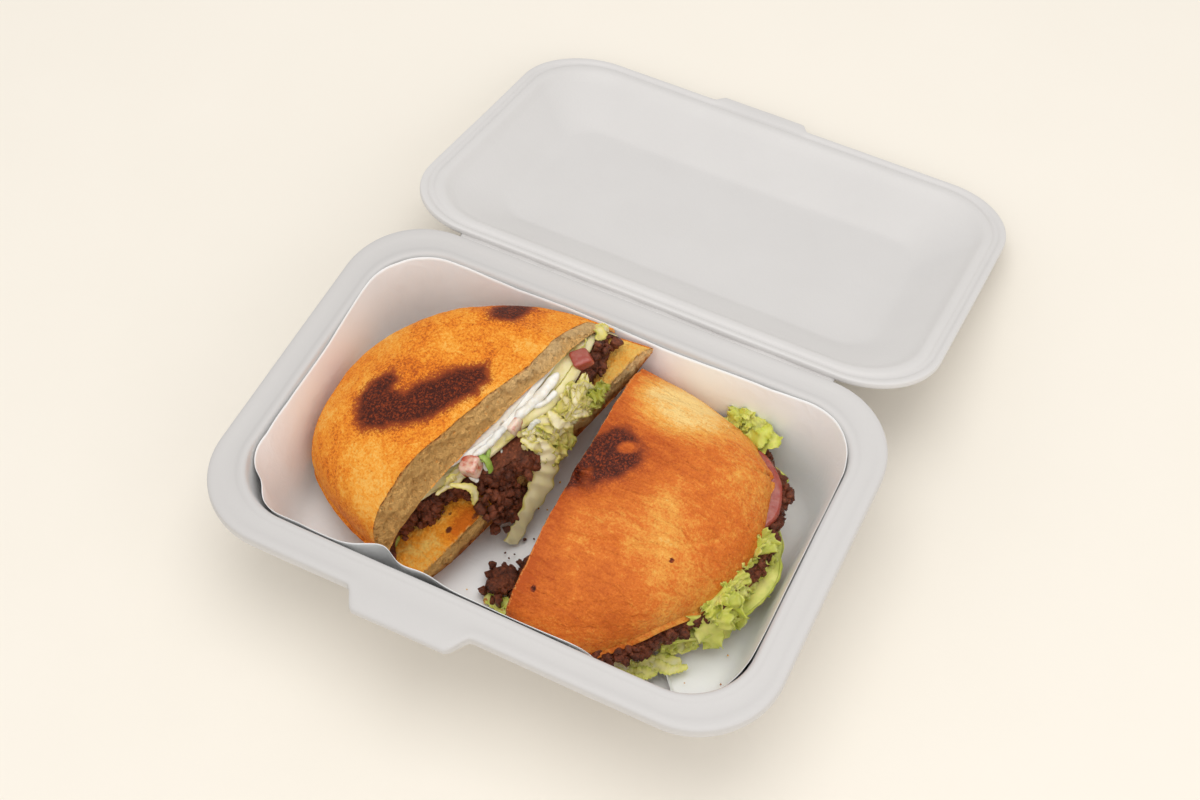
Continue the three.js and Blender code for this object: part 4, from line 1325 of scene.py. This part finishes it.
for count, (top_low, top_high), (end_low, end_high), width, rib, shape in (
    (44, ((-2, 1.5, 20), (38, 5, 25.5)), ((2, -3.4, 10.8), (36, -0.5, 16)), (2.6, 5.0), 0.8,
     {"ruffle": 0.8, "frill": 3.5, "ridges": 0.12}),
    (9, ((26, -1, 13), (36, 1, 19)), ((33, -4, 11), (41, -1, 20)), (4, 6.5), 0.15,
     {"ruffle": 1.4, "frill": 4, "columns": 11}),
    (9, ((4, -2, 9), (20, 0, 14)), ((-2, -4.5, 2), (14, -2.5, 8)), (4, 6.5), 0.6,
     {"ruffle": 1.0}),
    (20, ((-40, 13, 21), (52, 16, 24)), ((-40, 11.5, 20), (52, 14.5, 24)), (2.5, 4), 0.8,
     {"ruffle": 0.5}),
):
    tops = leaf_rng.uniform(top_low, top_high, (count, 3))
    ends = leaf_rng.uniform(end_low, end_high, (count, 3))
    pour(tops, ends, leaf_rng.uniform(*width, count), rib, **shape)
hanging = [(-10.5, 7.5, 47), (-4.5, 6.0, 39), (-3.6, -1.0, 29), (-6.4, -10, 17), (-9.0, -18.5, 6.8)]
shred(
    left_lettuce_skin, hanging, 10.0, (0.75, -0.62, 0.25), leaf_rng, ruffle=0.5, curl=-0.15,
    ridges=0.55, thickness=0.9, rib=1.1, rows=60, columns=13, taper=0.22,
)
for top, end, width, rib in (
    ((-31, 10, 25.5), (-29.5, 3.5, 12.5), 3.2, 0.85), ((-62, 24, 12.5), (-66, 20, 10.5), 4.2, 0.1),
    ((60, 19, 24), (52, 13, 22), 4.5, 0.8), ((57, 20, 21), (66, 18, 18), 3.6, 0.8),
):
    pour([top], [end], [width], rib, ruffle=0.4, thickness=0.9)
left_lettuce_skin.piece("left_lettuce_shreds", pale_lettuce, "tray", "lettuce_left", "left_lettuce")

# ---- left half: cream, herb and onion ------------------------------------------------
# A band of thick white cream squeezed out under the top slice, with one strip of green
# pepper, a see-through ring of onion and a few slivers beside it.


def bead(skin, knots, radius, rng, rough=0.25, squash=1.0, **values):
    """A closed soft rope through the knots, thicker and thinner by rough."""
    rows, around = 60, 14
    line = smooth_line(knots, rows)
    along = unit(np.gradient(line, axis=0))
    side = unit(np.cross(along, (0.3, 0.2, 1.0)))
    up = np.cross(side, along)
    share = np.linspace(0, 1, rows)
    seat = rng.uniform(0, 50)
    place = np.stack([share * len(knots) * 2, 0 * share, 0 * share], -1) + seat
    swell = 1 + rough * rolling(place, 1.0, seed=3, octaves=2)
    size = radius * swell * np.sqrt(np.maximum(1 - (2 * share - 1) ** 8, 0))
    turn = np.linspace(0, 2 * np.pi, around, endpoint=False)[None, :, None]
    ring = side[:, None] * np.cos(turn) + up[:, None] * np.sin(turn) * squash
    points = line[:, None] + ring * size[:, None, None]
    points = points + ring * (0.12 * radius * rolling(points, 2.5, seed=5))[..., None]
    points[0], points[-1] = line[0], line[-1]
    skin.grid(points, wrap=True, flip=True, **values)


thick_cream = Finish(
    "thick_cream", roughness=0.3, subsurface_weight=0.3, subsurface_radius=(0.003, 0.0025, 0.002),
    subsurface_scale=0.6,
)
cream_cloud = thick_cream.grain(3.2, detail=2)
thick_cream.set(
    base_color=thick_cream.blend(
        (0.80, 0.76, 0.66), (0.88, 0.86, 0.80), cream_cloud.between(0.35, 0.6),
    ),
    normal=thick_cream.relief(cream_cloud, 0.5),
)
cream_rng = np.random.default_rng(5)
left_cream = filling(
    left_half, left_levels["cream"], slant=1, bulge=1.6,
    face=lambda u: humps(u, 12, (10, 58, 24), (13, -52, 24), (-3, -2, 18)),
)
left_cream_skin = left_cream.skin(lambda points: 0.8 * rolling(points, 6, seed=44, octaves=2))


def beads(skin, rng, rows, **shape):
    """Ropes through knots in the left half's own frame, each row its knots and radius."""
    for knots, radius in rows:
        bead(skin, left_half.loose(np.array(knots, float)), radius, rng, **shape)


beads(left_cream_skin, cream_rng, (
    ([(-17, 10.5, 27), (-10, 9.5, 26.5), (-3, 9.5, 27), (0, 9.5, 26.5)], 1.7),
    ([(5, 9, 27), (12, 8.5, 26.5), (20, 8, 27.2), (30, 9.5, 27)], 2.1),
    ([(13, 8, 26), (18, 5.5, 25), (24, 5, 25.5)], 1.4),
    ([(-22, 9, 24.5), (-22.5, 8, 21), (-22, 6.5, 18)], 1.1),
    ([(-15, 10, 24.5), (-16, 8, 21), (-16.5, 5.5, 17.5)], 1.0),
    ([(0, 9, 25), (4, 7.5, 24.5)], 1.3),
))
left_cream_skin.piece("left_cream_band", thick_cream, "tray", "cream", "left_cream")

pepper_green = leaf_finish(
    "pepper_green", (0.52, 0.60, 0.20), (0.28, 0.42, 0.06), (0.13, 0.26, 0.03),
)
garnish_rng = np.random.default_rng(8)
pepper_skin = Skin()
beads(pepper_skin, garnish_rng, (
    ([(-15, 9, 26.5), (-14, 7, 24), (-15.5, 5, 19.5), (-17, 4.5, 17)], 1.5),
    ([(-10, 9, 25), (-13, 7.5, 24), (-16, 7.5, 24.5)], 0.9),
), squash=0.6, rib=0.45)
pepper_skin.piece("pepper_strips", pepper_green, "tray", "lettuce_left")

raw_onion = Finish(
    "raw_onion", roughness=0.22, subsurface_weight=0.6, subsurface_radius=(0.004, 0.004, 0.003),
    subsurface_scale=0.8, coat_weight=0.3,
)
onion_bands = raw_onion.grain(2.4, detail=2, stretch=(1, 1, 0.3))
raw_onion.set(base_color=raw_onion.blend(
    (0.50, 0.49, 0.42), (0.78, 0.77, 0.66), onion_bands.between(0.35, 0.65),
))
onion_skin = Skin()
ring_turn = np.linspace(-1.2, 3.9, 9)
onion_ring = np.stack([
    8.5 + 3.4 * np.cos(ring_turn), 2.6 + 0 * ring_turn, 20.5 + 4.2 * np.sin(ring_turn),
], -1)
beads(onion_skin, garnish_rng, (
    (onion_ring, 1.1), ([(-7, 8, 20), (-7.5, 6, 16), (-8, 4, 13)], 1.0),
    ([(24, 2.5, 22), (28, 1, 18), (27, -0.5, 14)], 1.0),
), squash=0.6, rough=0.15)

# ---- left half: tomato ---------------------------------------------------------------
# Three wet dice of about 7 mm lie in the cream of the cut, the back one darker than the
# others, which are smeared with cream.

wet_tomato = Finish(
    "wet_tomato", roughness=0.22, subsurface_weight=0.35, subsurface_radius=(0.006, 0.002, 0.0012),
    subsurface_scale=0.6, coat_weight=0.4,
)
tomato_cloud = wet_tomato.grain(3.4, detail=3)
tomato_flesh = wet_tomato.blend(
    (0.58, 0.10, 0.055), (0.74, 0.27, 0.17), tomato_cloud.between(0.42, 0.66),
)
creamed = wet_tomato.painted("cream") * tomato_cloud.between(0.3, 0.6)
tomato_flesh = wet_tomato.blend(tomato_flesh, (0.80, 0.62, 0.50), creamed)
wet_tomato.set(
    base_color=wet_tomato.blend(tomato_flesh, (0.27, 0.030, 0.014), wet_tomato.painted("deep")),
    normal=wet_tomato.relief(tomato_cloud, 0.4),
)
DIE_V, DIE_MARGIN, DIE_SQUARENESS = 9.5, 1.2, 7
directions, faces = BALLS[4]
reach = (np.abs(directions) ** DIE_SQUARENESS).sum(axis=-1, keepdims=True) ** (1 / DIE_SQUARENESS)
for name, u, size, turn, cream, deep in (
    ("front", -20, 7.4, 0.5, 0.8, 0.0), ("middle", 3, 6.8, 0.2, 1.0, 0.0),
    ("back", 41, 7.8, -0.4, 0.2, 0.75),
):
    meat_top = left_half.level(left_levels["meat"][1], u, DIE_V)
    room = left_half.level(left_levels["bun"], u, DIE_V) - meat_top
    cube = directions / reach * [size / 2, size / 2, min(size, room - 2 * DIE_MARGIN) / 2]
    cube = cube * (1 + 0.035 * rolling(cube + u, 4, seed=9, octaves=2)[:, None])
    local = cube @ turn_about(2, turn).T + [u, DIE_V, meat_top + room / 2]
    die = Skin().facets(left_half.place(*local.T), faces, cream=cream, deep=deep)
    die.piece("tomato_die_" + name, wet_tomato, "tray", "tomato_" + name, "left_tomato_" + name)

# ---- right half: lettuce -------------------------------------------------------------
# The leaf under the meat shows all round the crust: one big frilled mass spills out low on the
# right, two sprigs reach towards the back wall, and limp shreds lie on the paper in front.

green_lettuce = leaf_finish(
    "green_lettuce", (0.92, 0.89, 0.54), (0.86, 0.84, 0.24), (0.60, 0.66, 0.10),
)
right_lettuce = filling(
    right_half, right_levels["lettuce"], face=lambda u: 2 + 0 * u, bulge=0.8, edge_bulge=0.8,
    swell=lambda t: humps(
        t, 0.02 + 0.015 * np.sin(23 * t), (0.12, 2.2, 0.07), (0.16, 1.4, 0.3), (0.1, 1.0, 0.1),
    ),
)
ruffled = 0.9 * rolling(right_lettuce.shell * [1, 1, 0.3], 6, seed=131, octaves=2)
ruffled = ruffled * right_lettuce.s ** 6
at_edge = right_lettuce.zone == OUTER_EDGE
right_lettuce.raise_by(np.where(at_edge, 1.4 * ruffled, 0.6 * ruffled - 0.4))
right_lettuce_skin = right_lettuce.skin(folded_relief(33), rib=0.75 - 0.6 * right_lettuce.s ** 4)
UPRIGHT = (0.15, -0.25, 1.0)


def frill(roots, tips, widths, rib, droop, **shape):
    """Leaves from roots under the bread to tips outside it, given in the box's own frame."""
    for root, tip, width in zip(roots, tips, widths):
        rise = [leaf_rng.normal() * 1.2, leaf_rng.normal() * 1.2, droop]
        knots = [root, (root + tip) / 2 + rise, tip]
        facing = unit(np.array(UPRIGHT) + leaf_rng.normal(size=3) * 0.25)
        pale = rib * leaf_rng.uniform(0.5, 1.3)
        shred(right_lettuce_skin, knots, width, facing, leaf_rng, rib=pale, **shape)


def between(first, last, count, spread):
    """Random places along a straight line, off it by about spread."""
    share = np.sort(leaf_rng.uniform(0, 1, count))[:, None]
    line = np.asarray(first) * (1 - share) + np.asarray(last) * share
    return line + leaf_rng.normal(size=(count, 3)) * spread


for roots, tips, count, width, rib, droop, shape in (
    (((71, -22, 26), (77, 16, 28)), ((80, -31, 9), (91, 10, 10)), 14, (12, 17), 0.4, 6,
     {"ruffle": 2.4, "frill": 3.0, "rows": 50, "columns": 17}),
    (((73, -18, 27), (78, 16, 29)), ((83, -20, 17), (89, 12, 19)), 12, (9, 13), 0.25, 4,
     {"ruffle": 2.2, "frill": 3.5, "rows": 40, "columns": 15}),
    (((48, 58, 27), (60, 50, 25)), ((56, 65, 36), (72, 61, 33)), 9, (6, 9), 0.25, 2,
     {"ruffle": 1.6, "frill": 3.0, "rows": 34, "columns": 11}),
    (((70, 38, 18), (74, 31, 18)), ((81, 46, 16), (84, 37, 14)), 6, (5, 8), 0.25, 1.5,
     {"ruffle": 1.4, "frill": 3.0, "rows": 34, "columns": 11}),
    (((58, -30, 14), (70, -20, 15)), ((64, -39, 8), (78, -29, 8)), 8, (5, 9), 0.5, 1,
     {"ruffle": 1.4, "frill": 3.0}),
    (((20, -46, 13), (50, -38, 14)), ((28, -52, 10), (58, -45, 9)), 7, (3, 5), 0.8, 0,
     {"ruffle": 0.8}),
):
    starts, ends = between(*roots, count, 0.8), between(*tips, count, 1.0)
    frill(starts, ends, leaf_rng.uniform(*width, count), rib, droop, **shape)


def limp(skin, leaves, **shape):
    """Shreds lying flat along lines in the box's own frame: each its line, width and rib."""
    for line, width, rib in leaves:
        shred(skin, line, width, UPRIGHT, leaf_rng, rib=rib, **shape)


limp(right_lettuce_skin, (
    (((29, -51, 11), (34, -50.5, 10), (41, -49, 9), (50, -48.5, 9), (59, -48, 9)), 5.0, 0.85),
    (((54, -46, 8), (60, -46.5, 9), (66, -41, 8.5), (74, -35, 7)), 6.5, 0.6),
    (((57, -48.5, 9), (62, -47.5, 9), (68, -44, 8)), 4.6, 0.45),
    (((63, -41, 9), (71, -41, 8), (77, -36, 7)), 4.4, 0.5),
    (((33, -47, 11), (40, -46, 9), (47, -47, 9)), 4.0, 0.9),
), ruffle=0.7, frill=3.5, rows=44)
right_lettuce_skin.piece(
    "right_lettuce_leaves", green_lettuce, "tray", "lettuce_right", "right_lettuce",
)

# ---- right half: meat, tomato slice and onion ----------------------------------------
# The mince pushes out past the crust on the right and low in front. The tomato slice lies on
# it near the back, and three onion slivers stick out in front.

right_meat = filling(
    right_half, right_levels["meat"], face=lambda u: 1 + 1.4 * np.sin(0.4 * u),
    swell=lambda t: humps(t, 0.03, (0.05, 2.02, 0.12), (0.06, 0.6, 0.2), (0.02, 2.5, 0.1)),
    bulge=1.2, edge_bulge=1.4, spokes=190,
)
at_edge = right_meat.zone == OUTER_EDGE
right_meat.raise_by(np.where(at_edge, mince_relief(25)(right_meat.shell), -0.2))
right_meat_skin = right_meat.skin(mince_relief(27))
rim_rng = np.random.default_rng(17)
rim_rows = np.flatnonzero(at_edge[:, 0])
rim_t = np.concatenate([
    rim_rng.uniform(*reach) for reach in ((0.12, 1.0, 90), (1.0, 2.15, 110), (2.25, 2.75, 46))
])
rim_columns = (rim_t / np.pi * (right_meat.shell.shape[1] - 1)).astype(int)
rim_spots = right_meat.shell[rim_rng.choice(rim_rows, len(rim_t)), rim_columns]
RIGHT_MIDDLE = np.array([41.0, 1.0, 0.0])
for spot, out in zip(rim_spots, unit((rim_spots - RIGHT_MIDDLE) * [1, 1, 0])):
    crumbles(right_meat_skin, [spot], out, [rim_rng.uniform(1.0, 2.5)], rim_rng)
stud_face(right_meat_skin, right_meat, rim_rng, 130, -58, 60, (0.9, 2.0))
right_meat_skin.piece("right_meat_mince", cooked_mince, "tray", "meat_right", "right_meat")

SLICE_U, SLICE_V, SLICE_RADIUS, SLICE_THICKNESS, SLICE_PROUD = -29, 51, 23, 4.2, 0.6
SLICE_EDGE, SLICE_SKIN = 1.2, 6
slice_turn = np.linspace(0, 2 * np.pi, 96, endpoint=False)[None, :]
slice_round = np.linspace(-np.pi / 2, np.pi / 2, 15)[:, None]
slice_flat = np.linspace(0, SLICE_RADIUS - SLICE_EDGE, 12)[:, None]
slice_radius = np.concatenate([
    slice_flat, SLICE_RADIUS - SLICE_EDGE + SLICE_EDGE * np.cos(slice_round), slice_flat[::-1],
])
slice_height = np.concatenate([0 * slice_flat - 1, np.sin(slice_round), 0 * slice_flat + 1])
slice_level = right_levels["meat"][1][0] - SLICE_THICKNESS / 2 + SLICE_PROUD
wavy = slice_radius * (1 + 0.012 * np.sin(5 * slice_turn) + 0.008 * np.sin(9 * slice_turn + 1))
slice_points = right_half.place(
    SLICE_U + wavy * np.cos(slice_turn), SLICE_V + wavy * np.sin(slice_turn),
    slice_height * SLICE_THICKNESS / 2 + slice_level,
)
dark_skin = np.broadcast_to(slice_radius > SLICE_RADIUS - SLICE_SKIN, wavy.shape) * 0.8
Skin().grid(slice_points, wrap=True, deep=dark_skin).piece(
    "tomato_slice", wet_tomato, "tray", "tomato_slice", "right_tomato_slice",
)
for knots, radius in (
    (((56, -25, 20), (58.5, -29, 16), (60, -32, 10)), 1.3),
    (((62, -33, 12), (64, -35.5, 9), (65, -37, 6.4)), 1.2),
    (((50, -34, 15), (53, -36.5, 11), (53, -39, 7.5)), 1.0),
):
    bead(onion_skin, knots, radius, garnish_rng, squash=0.6, rough=0.15)
onion_skin.piece("onion_slivers", raw_onion, "tray", "cream")

# ---- dropped on the paper: a lump of mince, a leaf tip and crumbs --------------------
# One ragged lump of mince and the tip of a green leaf lie in front, between the halves, with
# crumbs of meat and toasted bread strewn about them.

lump_rng = np.random.default_rng(29)
loose_skin = Skin()
lump_middle = (-4, -35, FLOOR_TOP + 4.6)
lump(loose_skin, lump_middle, (8.4, 5.6, 4.0), lump_rng, 0.5, 4, turn=turn_about(2, 0.9))
for count, centre, spread, sizes in (
    (60, (-4, -35, FLOOR_TOP + 4.0), (2.8, 3.4, 1.4), (1.2, 2.6)),
    (22, (2, -25, FLOOR_TOP + 3.0), (1.6, 2.6, 1.0), (1.0, 2.2)),
    (7, (-6, -20, FLOOR_TOP + 1.2), (4, 6, 0.2), (0.4, 0.8)),
):
    spots = np.asarray(centre) + lump_rng.normal(size=(count, 3)) * spread
    spots[:, 2] = np.maximum(spots[:, 2], FLOOR_TOP + 1.0)
    crumbles(loose_skin, spots, np.array([0, 0, 1.0]), lump_rng.uniform(*sizes, count), lump_rng)
loose_skin.piece("dropped_mince", cooked_mince, "tray", "meat_loose", "loose_meat")

tip_skin = Skin()
limp(tip_skin, (
    (((-7.5, -42.5, 6.0), (-2, -43.5, 5.4), (4, -45, 5.6), (8.5, -47.5, 6.5)), 6.0, 0.25),
    (((-2, -41.5, 6.6), (3, -42.5, 6.6), (8, -44, 7.5)), 3.6, 0.05),
), ruffle=0.6, frill=2.5, rows=36)
tip_skin.piece("dropped_leaf_tip", green_lettuce, "tray", "lettuce_leaf", "loose_leaf")

toast_crumbs = Finish("toast_crumbs", roughness=0.7)
toast_crumbs.set(base_color=toast_crumbs.blend(
    (0.90, 0.55, 0.16), (0.50, 0.18, 0.04), toast_crumbs.grain(3).between(0.4, 0.6),
))
crumb_rng = np.random.default_rng(31)
crumb_skin = Skin()
for count, centre, spread in (
    (14, (-4, -40), (9, 9)), (14, (0, -8), (4, 18)),
    (12, (70, -30), (16, 12)), (6, (-60, -52), (16, 5)),
):
    for x, y in np.asarray(centre) + crumb_rng.normal(size=(count, 2)) * spread:
        size = crumb_rng.uniform(0.25, 0.8)
        place = settle(np.array([x, y, FLOOR_TOP + 0.1])) + [0, 0, size * 0.5]
        lump(crumb_skin, place, [size] * 3, crumb_rng, 0.4)
lump(crumb_skin, (-6, -44.5, FLOOR_TOP + 1.2), (1.6, 1.1, 1.0), crumb_rng, 0.5, 2)
crumb_skin.piece("bread_crumbs", toast_crumbs, "tray", "crumb_left")

# ---- the sizes of the model and of the scene -----------------------------------------

sizes = {"cad": cad_box, "visual": [list(corner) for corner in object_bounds()]}
